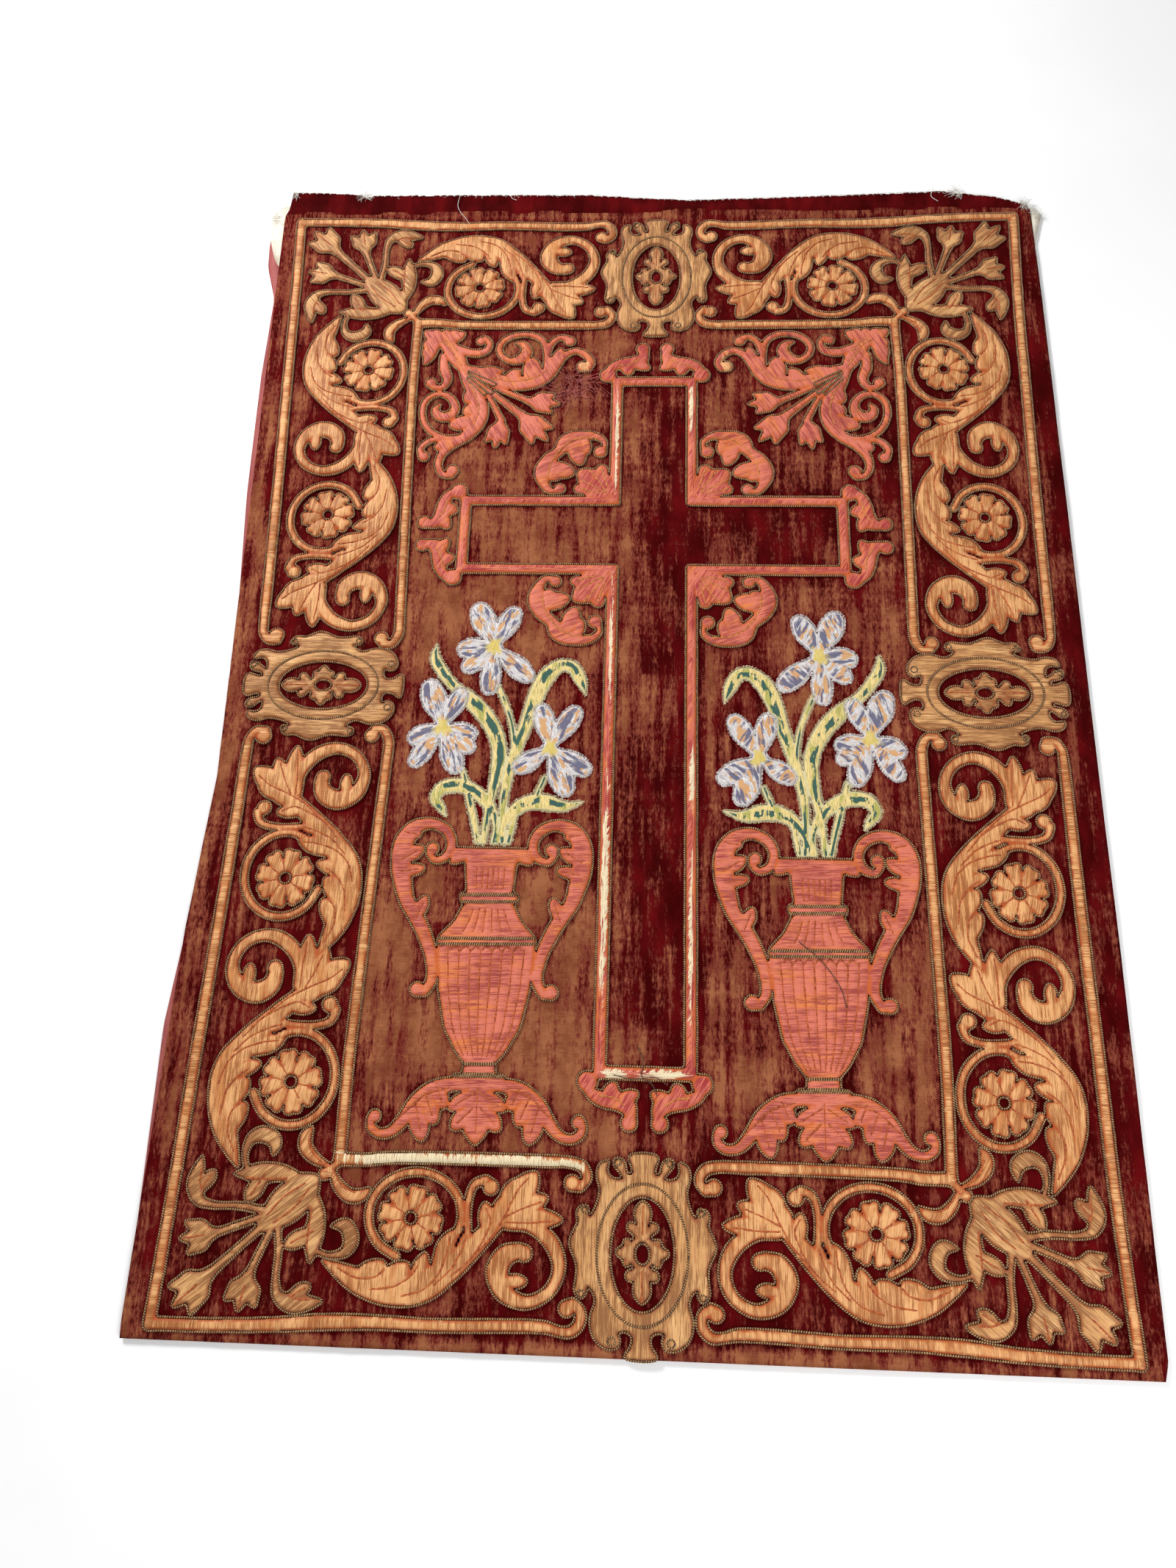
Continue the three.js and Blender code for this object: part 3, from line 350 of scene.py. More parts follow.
def lobe(x, y, tipX, tipY, wide, bend=0):
    """A pointed lobe of a leaf. A positive bend puts more of its width on the left."""
    base, along = np.array([x, y], float), np.array([tipX - x, tipY - y], float)
    across = np.array([-along[1], along[0]]) / np.hypot(*along) * wide / 2
    shape = rows("far half aside", [0, 0.7, 0], [0.3, 0.92, 0.6], [0.55, 1, 1], [0.8, 0.62, 0.7],
        [1, 0.05, 0])
    points = smoothed(np.array([[*(base + along * s["far"] + across * s["aside"] * bend),
        s["half"] * wide / 2] for s in shape]), 4)
    return {"line": points[:, :2], "half": np.maximum(points[:, 2], 0.3), "lay": None,
        "vein": base + along * np.array([[-0.05], [0.25], [0.5], [0.68]])}


def lobes(*table):
    return [lobe(*row) for row in table]


def cut_shape(points):
    return {"outline": np.asarray(points, float), "lay": None}


def as_drawn(x, y):
    return x, y


def placed(line, place):
    return np.stack(place(*np.array(line, float).T), 1)


def moved(part, place):
    """The part put through a map of the plane, with strips widened as the map widens them."""
    part = dict(part)
    if "outline" in part:
        part["outline"] = placed(part["outline"], place)
    else:
        x, y = part["line"].T
        here, right, up = (np.stack(place(x + a, y + b), 1) for a, b in ((0, 0), (0.1, 0), (0, 0.1)))
        right, up = (right - here) * 10, (up - here) * 10
        part["half"] = part["half"] * np.sqrt(np.abs(right[:, 0] * up[:, 1] - right[:, 1] * up[:, 0]))
        part["line"] = here
    if "vein" in part:
        part["vein"] = placed(part["vein"], place)
    return part


def depth_of(part, x, y):
    """How far each spot lies inside a part, its way along the part, and its share of the way across."""
    deep, along, side = np.full(x.shape, -BEYOND), np.zeros(x.shape), np.zeros(x.shape)
    corner, cell = np.array([x[0, 0], y[0, 0]]), x[0, 1] - x[0, 0]

    def window(low, high):
        a = np.maximum(np.floor((low - corner) / cell).astype(int), 0)
        b = np.ceil((high - corner) / cell).astype(int) + 1
        return slice(a[1], b[1]), slice(a[0], b[0])

    if "outline" in part:
        points = part["outline"]
        at = window(points.min(0) - BEYOND, points.max(0) + BEYOND)
        px, py = x[at], y[at]
        nearest, inside = np.full(px.shape, 1e9), np.zeros(px.shape, bool)
        for (ax, ay), (bx, by) in zip(points, np.roll(points, -1, 0)):
            run = (bx - ax) ** 2 + (by - ay) ** 2 + 1e-12
            far = np.clip(((px - ax) * (bx - ax) + (py - ay) * (by - ay)) / run, 0, 1)
            nearest = np.minimum(nearest, np.hypot(px - ax - far * (bx - ax), py - ay - far * (by - ay)))
            if ay != by:
                inside ^= ((ay > py) != (by > py)) & (px < ax + (py - ay) * (bx - ax) / (by - ay))
        deep[at] = np.maximum(np.where(inside, nearest, -nearest), -BEYOND)
        return deep, along, side
    line, half = part["line"], part["half"]
    gone = np.concatenate([[0], np.cumsum(np.linalg.norm(np.diff(line, axis=0), axis=1))])
    for i in range(len(line) - 1):
        a, b = line[i], line[i + 1]
        room = max(half[i], half[i + 1]) + BEYOND
        at = window(np.minimum(a, b) - room, np.maximum(a, b) + room)
        px, py, run = x[at] - a[0], y[at] - a[1], b - a
        far = np.clip((px * run[0] + py * run[1]) / (run @ run + 1e-12), 0, 1)
        out = np.hypot(px - far * run[0], py - far * run[1])
        width = half[i] + far * (half[i + 1] - half[i])
        better = width - out > deep[at]
        deep[at] = np.where(better, width - out, deep[at])
        along[at] = np.where(better, gone[i] + far * (gone[i + 1] - gone[i]), along[at])
        left = np.sign(run[0] * py - run[1] * px)
        side[at] = np.where(better, left * out / np.maximum(width, 1), side[at])
    return deep, along, side


def contours(deep, x, y):
    """The faces inside the zero line of a depth grid, its points, and the closed outlines round it."""
    high, wide = deep.shape
    total = high * wide
    here = np.arange(total).reshape(deep.shape)[:-1, :-1]
    corners = np.stack([here, here + 1, here + 1 + wide, here + wide], -1).reshape(-1, 4)
    edges = np.stack([here + total, here + 2 * total + 1, here + total + wide, here + 2 * total], -1)
    edges = edges.reshape(-1, 4)
    inside = deep.ravel() > 0
    kinds = (inside[corners] * (1, 2, 4, 8)).sum(1)
    faces, cells, follows = [], [], {}
    for kind in range(1, 16):
        walk = []
        for k in range(4):
            now, then = kind >> k & 1, kind >> (k + 1) % 4 & 1
            walk += [(0, k)] * now + [(1, k)] * (now != then)
        mine = np.flatnonzero(kinds == kind)
        if not len(mine):
            continue
        ring = np.stack([(corners, edges)[w][mine, k] for w, k in walk], 1)
        faces += ring.tolist()
        cells.append(mine)
        for k, (first, second) in enumerate(zip(walk, walk[1:] + walk[:1])):
            if first[0] and second[0]:
                follows.update(zip(ring[:, k].tolist(), ring[:, (k + 1) % len(walk)].tolist()))
    flat, px, py = deep.ravel(), x.ravel(), y.ravel()
    used = np.unique(np.concatenate([np.ravel(face) for face in faces]))
    base, kind = used % total, used // total
    other = base + np.array([0, 1, wide])[kind]
    share = np.where(kind > 0, flat[base] / np.where(kind > 0, flat[base] - flat[other], 1), 0)
    place = np.stack([p[base] + share * (p[other] - p[base]) for p in (px, py)], 1)
    nearest = np.where(inside[base], base, other)
    renamed = np.full(3 * total, -1)
    renamed[used] = np.arange(len(used))
    faces = [renamed[face].tolist() for face in faces]
    loops = []
    while follows:
        start, spot = follows.popitem()
        loop = [start]
        while spot != start:
            loop.append(spot)
            spot = follows.pop(spot)
        if len(loop) > 5:
            loops.append(renamed[loop])
    return place, faces, np.concatenate(cells), nearest, loops


couched, stitched, footprints_for_pile_and_shade = [], [], []


def around(outline):
    """The cord's own way round a closed outline, just outside it, a little unsteady as by hand."""
    line = (outline + np.roll(outline, 1, 0) + np.roll(outline, -1, 0)) / 3
    run = np.roll(line, -1, 0) - np.roll(line, 1, 0)
    out = np.stack([run[:, 1], -run[:, 0]], 1) / np.maximum(np.linalg.norm(run, axis=1), 1e-6)[:, None]
    line = line + out * (0.7 + 0.3 * uneven(*line.T, 14, 14, 31))[:, None]
    return np.column_stack([line, np.full(len(line), CORD_LEVEL)])


def applique(node_name, parts, finish, place=as_drawn, lay=90.0, high=PAD_HIGH, holes=(),
        more=(), eye=None, veins=(), grooves=1.3, bare=(), lobe_veins=True, rucks=0.0):
    """One padded piece over its own node. Its outlines wait to be couched and its veins to be stitched."""
    parts = [moved(part, place) for part in parts]
    holes = [moved(hole, place) for hole in holes]
    more = [moved(part, place) for part in more]
    reach = [p["outline"] if "outline" in p else
        np.vstack([p["line"] - p["half"][:, None], p["line"] + p["half"][:, None]])
        for p in [*parts, *more]]
    low, far = np.vstack(reach).min(0) - 4 * CELL, np.vstack(reach).max(0) + 4 * CELL
    x, y = np.meshgrid(np.arange(low[0], far[0], CELL), np.arange(low[1], far[1], CELL))
    deep, along, side = np.full(x.shape, -BEYOND), np.zeros(x.shape), np.zeros(x.shape)
    which = np.zeros(x.shape, int)
    for number, part in enumerate([*parts, *holes, *more]):
        mine, way, across = depth_of(part, x, y)
        if len(parts) <= number < len(parts) + len(holes):
            deep = np.minimum(deep, -mine)
            continue
        better = mine > deep
        deep, along, side = (np.where(better, a, b) for a, b in ((mine, deep), (way, along), (across, side)))
        which = np.where(better, number, which)
    if eye:
        deep = np.minimum(deep, -depth_of(moved(eye, place), x, y)[0])
    lines = [part["vein"] for part in [*parts, *more] if "vein" in part and lobe_veins]
    lines += [placed(line, place) for line in veins]
    groove = np.full(x.shape, -BEYOND)
    for line in lines:
        groove = np.maximum(groove, depth_of({"line": line, "half": np.zeros(len(line))}, x, y)[0])
    crown = np.sqrt(1 - (1 - np.clip(deep / SHOULDER, 0, 1)) ** 2)
    top = PAD_LOW + 0.25 + (high - PAD_LOW - 0.7) * crown + 0.3 * crown * (
        uneven(x, y, 8, 8, 21) + uneven(x, y, 17, 17, 22))
    top += (rucks * crown * uneven(along, 2 * side, 4.5, 3, 23)
        - grooves * crown * np.exp(-((groove / 1.9) ** 2)))
    place_of, faces, cells, nearest, loops = contours(deep, x, y)
    height = top.ravel()[nearest]
    rim = np.concatenate(loops)
    height[rim] = PAD_LOW
    under = rim[np.array(tessellate_polygon([[(*place_of[i], 0.0) for i in loop] for loop in loops]))]
    a, b, c = (place_of[under[:, k]] for k in range(3))
    upward = (b - a)[:, 0] * (c - a)[:, 1] > (b - a)[:, 1] * (c - a)[:, 0]
    under[upward] = under[upward][:, ::-1]
    faces += under.tolist()
    made = piece(node_name + "_silk", np.column_stack([place_of, height]), faces, finish)
    mesh = made.data
    stained = np.minimum(deep, 1.8 - 1.6 * groove).ravel()[nearest]
    stained[rim] = 0
    for name, values in (("Depth", stained), ("Along", along.ravel()[nearest]),
            ("Side", side.ravel()[nearest])):
        mesh.attributes.new(name, "FLOAT", "POINT").data.foreach_set("value", values.astype(np.float32))
    worn = np.zeros(len(nearest))
    for spot in bare:
        worn = np.maximum(worn, np.exp(-(((place_of[:, 0] - spot["x"]) / spot["wide"]) ** 2
            + ((place_of[:, 1] - spot["y"]) / spot["high"]) ** 2)))
    mesh.attributes.new("Worn", "FLOAT", "POINT").data.foreach_set("value", worn.astype(np.float32))
    lays = np.radians([lay if part["lay"] is None else part["lay"] for part in [*parts, *holes, *more]])
    turn = np.concatenate([lays[which[divmod(cells, x.shape[1] - 1)]], np.zeros(len(under))])
    corners = np.zeros(len(mesh.loops), int)
    mesh.loops.foreach_get("vertex_index", corners)
    turn = np.repeat(turn, [len(face) for face in faces])
    px, py = place_of[corners].T / 1000
    fibres = np.stack([px * np.cos(turn) + py * np.sin(turn), py * np.cos(turn) - px * np.sin(turn)], 1)
    mesh.uv_layers.new(name="Fibres").data.foreach_set("uv", fibres.astype(np.float32).ravel())
    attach(made, "root")
    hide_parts(node_name)
    for loop in loops:
        couched.append(around(place_of[loop]))
    for line in lines:
        line = smoothed(line, 5)
        i = np.clip(((line - (x[0, 0], y[0, 0])) / CELL).round().astype(int), 0, np.array(x.shape)[::-1] - 1)
        level = top[i[:, 1], i[:, 0]]
        inside = deep[i[:, 1], i[:, 0]] > 1.5
        if inside.sum() > 3:
            stitched.append(np.column_stack([line, level + 0.2])[inside])
    # Its footprint, for the kept pile and the painted contact shade on the velvet round it.
    footprints_for_pile_and_shade.append((x[::2, ::2][deep[::2, ::2] > 0], y[::2, ::2][deep[::2, ::2] > 0]))


def silk(name, light, dark, edge, tint, streak, core=COTTON):
    """Satin silk: long fine fibres, slow streaks, a darker stain along its edges and stitched veins, and
    the core where it has worn through."""
    material, spot = finish_of(name, sheen=0.08, roughness=0.5)
    fibres_of = node(spot, "UVMap", uv_map="Fibres").outputs[0]
    deep = kept_on_mesh(spot, "Depth")
    worn = kept_on_mesh(spot, "Worn")
    fine = grain(fibres_of, (40, 1100, 1), 3)
    broad = grain(fibres_of, (14, 210, 1), 5, 0.7)
    tone = weighed((fine, 0.4), (broad, 0.35), (grain(spot, (16, 16, 1), 4), 0.25))
    tinted = mixed(between(grain(fibres_of, (10, 45, 1), 4, 0.7), 0.48, 0.62), light, tint)
    silken = mixed(between(tone, 0.46 - 0.1 * (1 - streak), 0.47 + 0.08 * streak), dark, tinted)
    near_edge = sums("MULTIPLY", between(deep, 4.6, 1.0),
        between(grain(spot, (60, 60, 1), 4), 0.36, 0.5))
    stained = mixed(sums("MULTIPLY", near_edge, 0.95), silken, edge)
    threadbare = between(weighed((worn, 1), (sums("SUBTRACT", broad, 0.5), 2.2)), 0.44, 0.52)
    padding = mixed(between(fine, 0.56, 0.6), core, dark)
    tugs = grain(fibres_of, (320, 26, 1), 2)
    height = weighed((fine, 0.5), (broad, 0.5), (tugs, 0.5))
    return dressed(material, mixed(threadbare, stained, padding), height, 0.0009, 0.9)


def geometry_tree(name, **inputs):
    """An empty Geometry Nodes tree with named inputs, and the ways to add its nodes and to end it."""
    tree = bpy.data.node_groups.new(name, "GeometryNodeTree")
    kinds = {float: "NodeSocketFloat", int: "NodeSocketInt", type(None): "NodeSocketMaterial"}
    tree.interface.new_socket("Geometry", in_out="INPUT", socket_type="NodeSocketGeometry")
    for key, value in inputs.items():
        socket = tree.interface.new_socket(key, in_out="INPUT", socket_type=kinds[type(value)])
        if value is not None:
            socket.default_value = value
    tree.interface.new_socket("Geometry", in_out="OUTPUT", socket_type="NodeSocketGeometry")
    start, end = tree.nodes.new("NodeGroupInput"), tree.nodes.new("NodeGroupOutput")

    def add(kind, sockets=None, **settings):
        return add_node(tree, "GeometryNode" + kind, sockets, **settings)

    def ended(laid):
        real = add("RealizeInstances", {"Geometry": laid.outputs[0]})
        dyed = add("SetMaterial", {"Geometry": real.outputs[0], "Material": start.outputs["Thread"]})
        tree.links.new(dyed.outputs[0], end.inputs["Geometry"])
        return tree

    return tree, start.outputs, add, ended


def cord_tree():
    """A round cord along every run of edges, with the way along it and round it kept for its twist."""
    tree, given, add, ended = geometry_tree("couched cord", Step=CORD_STEP, Radius=CORD_RADIUS, Sides=5,
        Thread=None)
    runs = add("MeshToCurve", {"Mesh": given["Geometry"]})
    even = add("ResampleCurve", {"Curve": runs.outputs[0], "Length": given["Step"]}, mode="LENGTH")
    way = add("SplineParameter")
    keep = add("CaptureAttribute", {"Geometry": even.outputs[0]})
    keep.capture_items.new("FLOAT", "Way")
    tree.links.new(way.outputs["Length"], keep.inputs["Way"])
    section = add("CurvePrimitiveCircle", {"Resolution": given["Sides"], "Radius": given["Radius"]})
    spot = add("InputPosition")
    turn = add("CaptureAttribute", {"Geometry": section.outputs[0]})
    turn.capture_items.new("VECTOR", "Turn")
    tree.links.new(spot.outputs[0], turn.inputs["Turn"])
    tube = add("CurveToMesh", {"Curve": keep.outputs[0], "Profile Curve": turn.outputs[0],
        "Fill Caps": True})
    far = add("StoreNamedAttribute", {"Geometry": tube.outputs[0], "Name": "Way",
        "Value": keep.outputs["Way"]}, data_type="FLOAT")
    round_it = add("StoreNamedAttribute", {"Geometry": far.outputs[0], "Name": "Turn",
        "Value": turn.outputs["Turn"]}, data_type="FLOAT_VECTOR")
    return ended(round_it)


def stitch_tree():
    """One short thread for each stitch along every run of edges, turned and sized a little unevenly."""
    tree, given, add, ended = geometry_tree("row of stitches", Spacing=0.004, Length=0.0035, Radius=0.0005,
        Slant=0.0, Zigzag=0.0, Uneven=0.25, Seed=3, Thread=None)
    runs = add("MeshToCurve", {"Mesh": given["Geometry"]})
    spots = add("CurveToPoints", {"Curve": runs.outputs[0], "Length": given["Spacing"]}, mode="LENGTH")
    thread = add("MeshCylinder", {"Vertices": 4, "Radius": given["Radius"], "Depth": given["Length"]})
    number = add("InputIndex")
    odd = sums("MODULO", number.outputs[0], 2.0)
    way = sums("MULTIPLY_ADD", odd, 2.0, -1.0)
    zigzag = sums("MULTIPLY_ADD", way, given["Zigzag"], given["Slant"])
    less = sums("MULTIPLY", given["Uneven"], -1.0)
    chance = add_node(tree, "FunctionNodeRandomValue", {"Min": less, "Max": given["Uneven"],
        "Seed": given["Seed"]}, data_type="FLOAT")
    chance_of = next(s for s in chance.outputs if s.enabled)
    turned = node(tree, "CombineXYZ", {"Z": sums("ADD", zigzag, chance_of)})
    euler = add_node(tree, "FunctionNodeEulerToRotation", {0: turned.outputs[0]})
    facing = add_node(tree, "FunctionNodeRotateRotation", {"Rotation": spots.outputs["Rotation"],
        "Rotate By": euler.outputs[0]}, rotation_space="GLOBAL")
    laid = add("InstanceOnPoints", {"Points": spots.outputs[0], "Instance": thread.outputs[0],
        "Rotation": facing.outputs[0], "Scale": sums("ADD", 1.0, chance_of)})
    return ended(laid)


def laid_along(name, runs, tree, slot, closed=False, smooth=True, **inputs):
    """A plain mesh made by a Geometry Nodes tree along runs of points in design millimetres."""
    points = (np.vstack(runs) + (*DESIGN_TO_FRAME, 0)) / 1000
    edges, first = [], 0
    for run in runs:
        spots = np.arange(first, first + len(run))
        edges += np.stack([spots[:-1], spots[1:]], 1).tolist() + [[int(spots[-1]), first]] * closed
        first += len(run)
    path = bpy.data.meshes.new(name + "_path")
    path.from_pydata(points, edges, [])
    carrier = bpy.data.objects.new(name + "_path", path)
    bpy.context.scene.collection.objects.link(carrier)
    modifier = carrier.modifiers.new("laid", "NODES")
    modifier.node_group = tree
    sockets = {s.name: s.identifier for s in tree.interface.items_tree if s.in_out == "INPUT"}
    for key, value in inputs.items():
        modifier[sockets[key]] = value
    depsgraph = bpy.context.evaluated_depsgraph_get()
    mesh = bpy.data.meshes.new_from_object(carrier.evaluated_get(depsgraph))
    bpy.data.objects.remove(carrier)
    mesh.name = name
    if smooth:
        mesh.shade_smooth()
    made = bpy.data.objects.new(name, mesh)
    bpy.context.scene.collection.objects.link(made)
    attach(made, "root")


def twisted(name, light, dark):
    """Two plies of gilt thread twisted together: painted highlights on the beads and painted shade in the
    gaps between.
    """
    material, spot = finish_of(name, sheen=0.1, roughness=0.5)
    way = kept_on_mesh(spot, "Way")
    turn = node(spot, "SeparateXYZ", {0: node(spot, "Attribute", attribute_name="Turn").outputs["Vector"]})
    angle = sums("ARCTAN2", turn.outputs[1], turn.outputs[0])
    wave = sums("SINE", sums("ADD", angle, sums("MULTIPLY", way, 2 * math.pi / CORD_PITCH)))
    # The bead's light colour is a painted highlight and the gap's dark one painted shade, turning with the
    # twist.
    bead_highlight_and_gap_shade = sums("ADD", sums("MULTIPLY", wave, 0.26), grain(spot, (190, 190, 190), 4, 0.7))
    return dressed(material, mixed(between(bead_highlight_and_gap_shade, 0.35, 0.9), dark, light), wave, 0.0008, 1.0)


def stitch_thread(name, light, dark):
    material, spot = finish_of(name, sheen=0.2)
    tone = grain(spot, (260, 260, 260), 3)
    fibres = grain(spot, (2400, 2400, 2400), 2)
    return dressed(material, mixed(between(tone, 0.35, 0.65), dark, light), fibres, 0.0002)


CORD_TREE, STITCH_TREE = cord_tree(), stitch_tree()
# The light colour is the gilt as a painted highlight, the dark one painted shade in the gaps between the
# plies.
GILT_CORD = twisted("couched_gilt_cord", (0.72, 0.44, 0.19), (0.10, 0.034, 0.013))
RED_SILK_THREAD = stitch_thread("red_stitching_silk", (0.56, 0.15, 0.035), (0.30, 0.05, 0.014))


def couch(name, slot, thread=RED_SILK_THREAD):
    """Couches the cord round the outlines that wait, and stitches the veins that wait."""
    laid_along("cord_" + name, couched, CORD_TREE, slot, closed=True, Step=CORD_STEP, Radius=CORD_RADIUS,
        Thread=GILT_CORD)
    if stitched:
        laid_along("veins_" + name, stitched, STITCH_TREE, slot, smooth=False, Spacing=0.003, Length=0.0036,
            Radius=0.0009, Uneven=0.25, Thread=thread)
    couched.clear()
    stitched.clear()


# How far from the middle the drawn quarter's inner bars lie and where the other quarters have them, how
# much narrower their border is, and how far the right side's inner bar bows out.
INNER_X, INNER_X_RIGHT, INNER_Y, INNER_Y_BOTTOM, BORDER_SHARE, BOW = 356, 351, 590, 600, 0.945, 13


def stretched(far, start, to):
    return np.where(far < start, far * to / start, to + (far - start) * BORDER_SHARE)


def to_right(x, y):
    bow = BOW * (1 - np.minimum(np.abs(y) / INNER_Y, 1))
    return MIDDLE_X + stretched(MIDDLE_X - x, INNER_X, INNER_X_RIGHT) + bow, y


def to_bottom(x, y):
    return x, -stretched(y, INNER_Y, INNER_Y_BOTTOM)


QUARTERS = {"top_left": as_drawn, "top_right": to_right, "bottom_left": to_bottom,
    "bottom_right": lambda x, y: to_bottom(*to_right(x, y))}
GOLD_SILK = silk("gold_satin_silk", GOLD, GOLD_SHADE, RED_EDGE, GOLD_TINT, streak=0.85)
OUTER_BAR = [
    strand([-549, 783, BAR], [-480, 782, BAR], [-410, 779, BAR + 1], [-350, 774, BAR + 3],
        [-290, 772, BAR + 1], [-230, 773, BAR], [-100, 770, BAR - 1], [-88, 773, 10], [-72, 774, 11],
        [-62, 764, 12], [-62, 751, 12], [-71, 744, 13]),
    bulb(-77, 749, 9),
    strand([-549, 784, BAR], [-545, 700, BAR], [-537, 480, BAR], [-532, 350, BAR], [-527, 200, BAR],
        [-524, 92, BAR - 1], [-523, 78, 11], [-515, 66, 11], [-502, 65, 11], lay=0),
    bulb(-504, 73, 10, lay=0),
]
for quarter, place in QUARTERS.items():
    applique("outer_bar_" + quarter, OUTER_BAR, GOLD_SILK, place, rucks=0.5)
couch("outer_bars", "gold_silk")


# The inner bars: the same padded strips, nearer the middle. They meet at a bead in each corner, which
# has a small leaf of the same silk sewn to either side of it.
INNER_BAR_WIDTH = 12
INNER_BAR = [
    strand([-349, 590, INNER_BAR_WIDTH + 2], [-318, 590, INNER_BAR_WIDTH + 1], [-290, 587, INNER_BAR_WIDTH],
        [-100, 585, INNER_BAR_WIDTH], [-83, 585, 11], [-65, 589, 12], [-58, 602, 11], [-66, 614, 10]),
    bulb(-75, 609, 9),
    strand([-349, 592, INNER_BAR_WIDTH], [-349, 480, INNER_BAR_WIDTH], [-345, 350, INNER_BAR_WIDTH],
        [-338, 150, INNER_BAR_WIDTH], [-336, 96, INNER_BAR_WIDTH], [-336, 78, 12], [-344, 62, 11],
        [-356, 61, 11], lay=0),
    bulb(-359, 70, 9, lay=0),
    bulb(-365, 608, 7, lay=0),
    strand([-364, 607, 9], [-349, 593, 9]),
    strand([-357, 603, 5], [-348, 620, 12], [-334, 632, 15], [-319, 631, 13], [-309, 622, 1], lay=60),
    strand([-361, 599, 5], [-379, 590, 12], [-391, 577, 15], [-391, 565, 13], [-384, 555, 1], lay=60),
]
SMALL_LEAF_VEINS = [[[-352, 608], [-342, 622], [-328, 628]], [[-368, 596], [-382, 584], [-388, 570]]]
# Where the silk has worn through to its cotton core, as soft ovals.
BARE_INNER = rows("x y wide high", [-260, -598, 90, 10], [-150, -598, 70, 10], [-90, -600, 40, 8])
for quarter, place in QUARTERS.items():
    applique("inner_bar_" + quarter, INNER_BAR, GOLD_SILK, place, veins=SMALL_LEAF_VEINS,
        bare=BARE_INNER, rucks=0.5)
couch("inner_bars", "gold_silk")


# The corner bouquets: old gold silk, worn dull and streaked, cut as a calyx with three buds, two leaves
# and two curls. Each lies along the diagonal of its corner and is couched round like the rest.
OLD_GOLD, OLD_GOLD_SHADE = (0.64, 0.325, 0.125), (0.28, 0.115, 0.04)
BOUQUET_MIDDLE = (-425, 664)
OLD_GOLD_SILK = silk("old_gold_silk", OLD_GOLD, OLD_GOLD_SHADE, (0.3, 0.09, 0.03), (0.76, 0.43, 0.18),
    streak=1.0)


def bud(x, y, tipX, tipY, wide):
    """A closed tulip bud: a narrow base, full sides and three pointed petals at its end."""
    base, along = np.array([x, y], float), np.array([tipX - x, tipY - y], float)
    across = np.array([-along[1], along[0]]) / np.hypot(*along) * wide / 2
    side = rows("far out", [0, 0.3], [0.1, 0.32], [0.2, 0.5], [0.3, 0.82], [0.4, 0.93], [0.52, 0.93],
        [0.66, 0.97], [0.8, 1.02], [0.79, 0.8], [0.7, 0.4], [0.72, 0.33], [0.82, 0.24])
    half = [base + along * s["far"] + across * s["out"] for s in side]
    other = [base + along * s["far"] - across * s["out"] for s in side]
    made = cut_shape([*half, base + along, *other[::-1]])
    made["vein"] = base + along * np.array([[0.35], [0.6], [0.9]])
    return made


def on_diagonal(x, y):
    return (BOUQUET_MIDDLE[0] + (y - x) * math.sqrt(0.5), BOUQUET_MIDDLE[1] + (x + y) * math.sqrt(0.5))


def other_side(x, y):
    return x, -y


def both_sides(parts, across=other_side):
    return [*parts, *(moved(part, across) for part in parts)]


def both_veins(lines, across=other_side):
    return [vein for line in lines for vein in (line, placed(line, across))]


BOUQUET = [
    strand([8, 0, 16], [-10, 0, 32], [-30, 0, 44], [-52, 0, 36], [-66, 0, 18]),
    strand([0, 0, 9], [44, 0, 8], [90, 0, 11]),
    bud(84, 0, 144, 0, 45),
    *both_sides([
        strand([-56, 8, 14], [-46, 32, 18], [-27, 50, 22], [-3, 71, 1]),
        lobe(-28, 44, 6, 35, 19),
        strand([-17, 61, 5], [-27, 79, 6], [-43, 88, 11], [-57, 82, 17], [-62, 66, 15], [-49, 54, 1]),
        strand([-4, 6, 8], [26, 19, 7], [58, 33, 9]),
        bud(52, 30, 91, 56, 40),
        strand([-4, 12, 8], [14, 36, 7], [36, 58, 7], [45, 74, 12], [38, 91, 20], [24, 103, 14],
            [10, 113, 1]),
        lobe(33, 84, 10, 89, 15),
        strand([-70, 3, 8], [-59, 6, 14], [-40, 8, 24], [-20, 7, 20], [2, 3, 12]),
    ]),
]
BOUQUET_VEINS = both_veins([[[-58, 4], [-30, 9], [-4, 6]], [[-46, 24], [-26, 42], [-12, 56]],
    [[36, 70], [33, 88], [22, 100]]])
DIAGONAL_LAYS = {"top_left": -48, "top_right": 42, "bottom_left": 38, "bottom_right": -40}
for quarter, place in QUARTERS.items():
    applique("corner_bouquet_" + quarter, BOUQUET, OLD_GOLD_SILK,
        lambda x, y, place=place: place(*on_diagonal(x, y)), lay=DIAGONAL_LAYS[quarter], grooves=0.9,
        veins=BOUQUET_VEINS)
couch("bouquets", "old_gold")


# The border scrolls: leafy stems of gold silk over flat padding, each curled round an open ring. One
# lies along the top or bottom and a mirrored pair runs down each side. Red stitches mark the leaves.
RING = {"x": 0, "y": 4, "radiusX": 54, "radiusY": 50, "band": 9}
HORIZONTAL_RING, UPPER_RING, LOWER_RING = (-255, 648), (-410, 501), (-460, 256)


def arc(ring, start, end):
    turns = np.radians(np.linspace(start, end, math.ceil(abs(end - start) / 30) + 1))
    return [[ring["x"] + ring["radiusX"] * math.cos(turn), ring["y"] + ring["radiusY"] * math.sin(turn),
        ring["band"]] for turn in turns]


def along_top(x, y):
    return HORIZONTAL_RING[0] + x, HORIZONTAL_RING[1] + y


def down_side(x, y):
    return UPPER_RING[0] - y, UPPER_RING[1] - x


def down_side_mirrored(x, y):
    return LOWER_RING[0] + y, LOWER_RING[1] - x


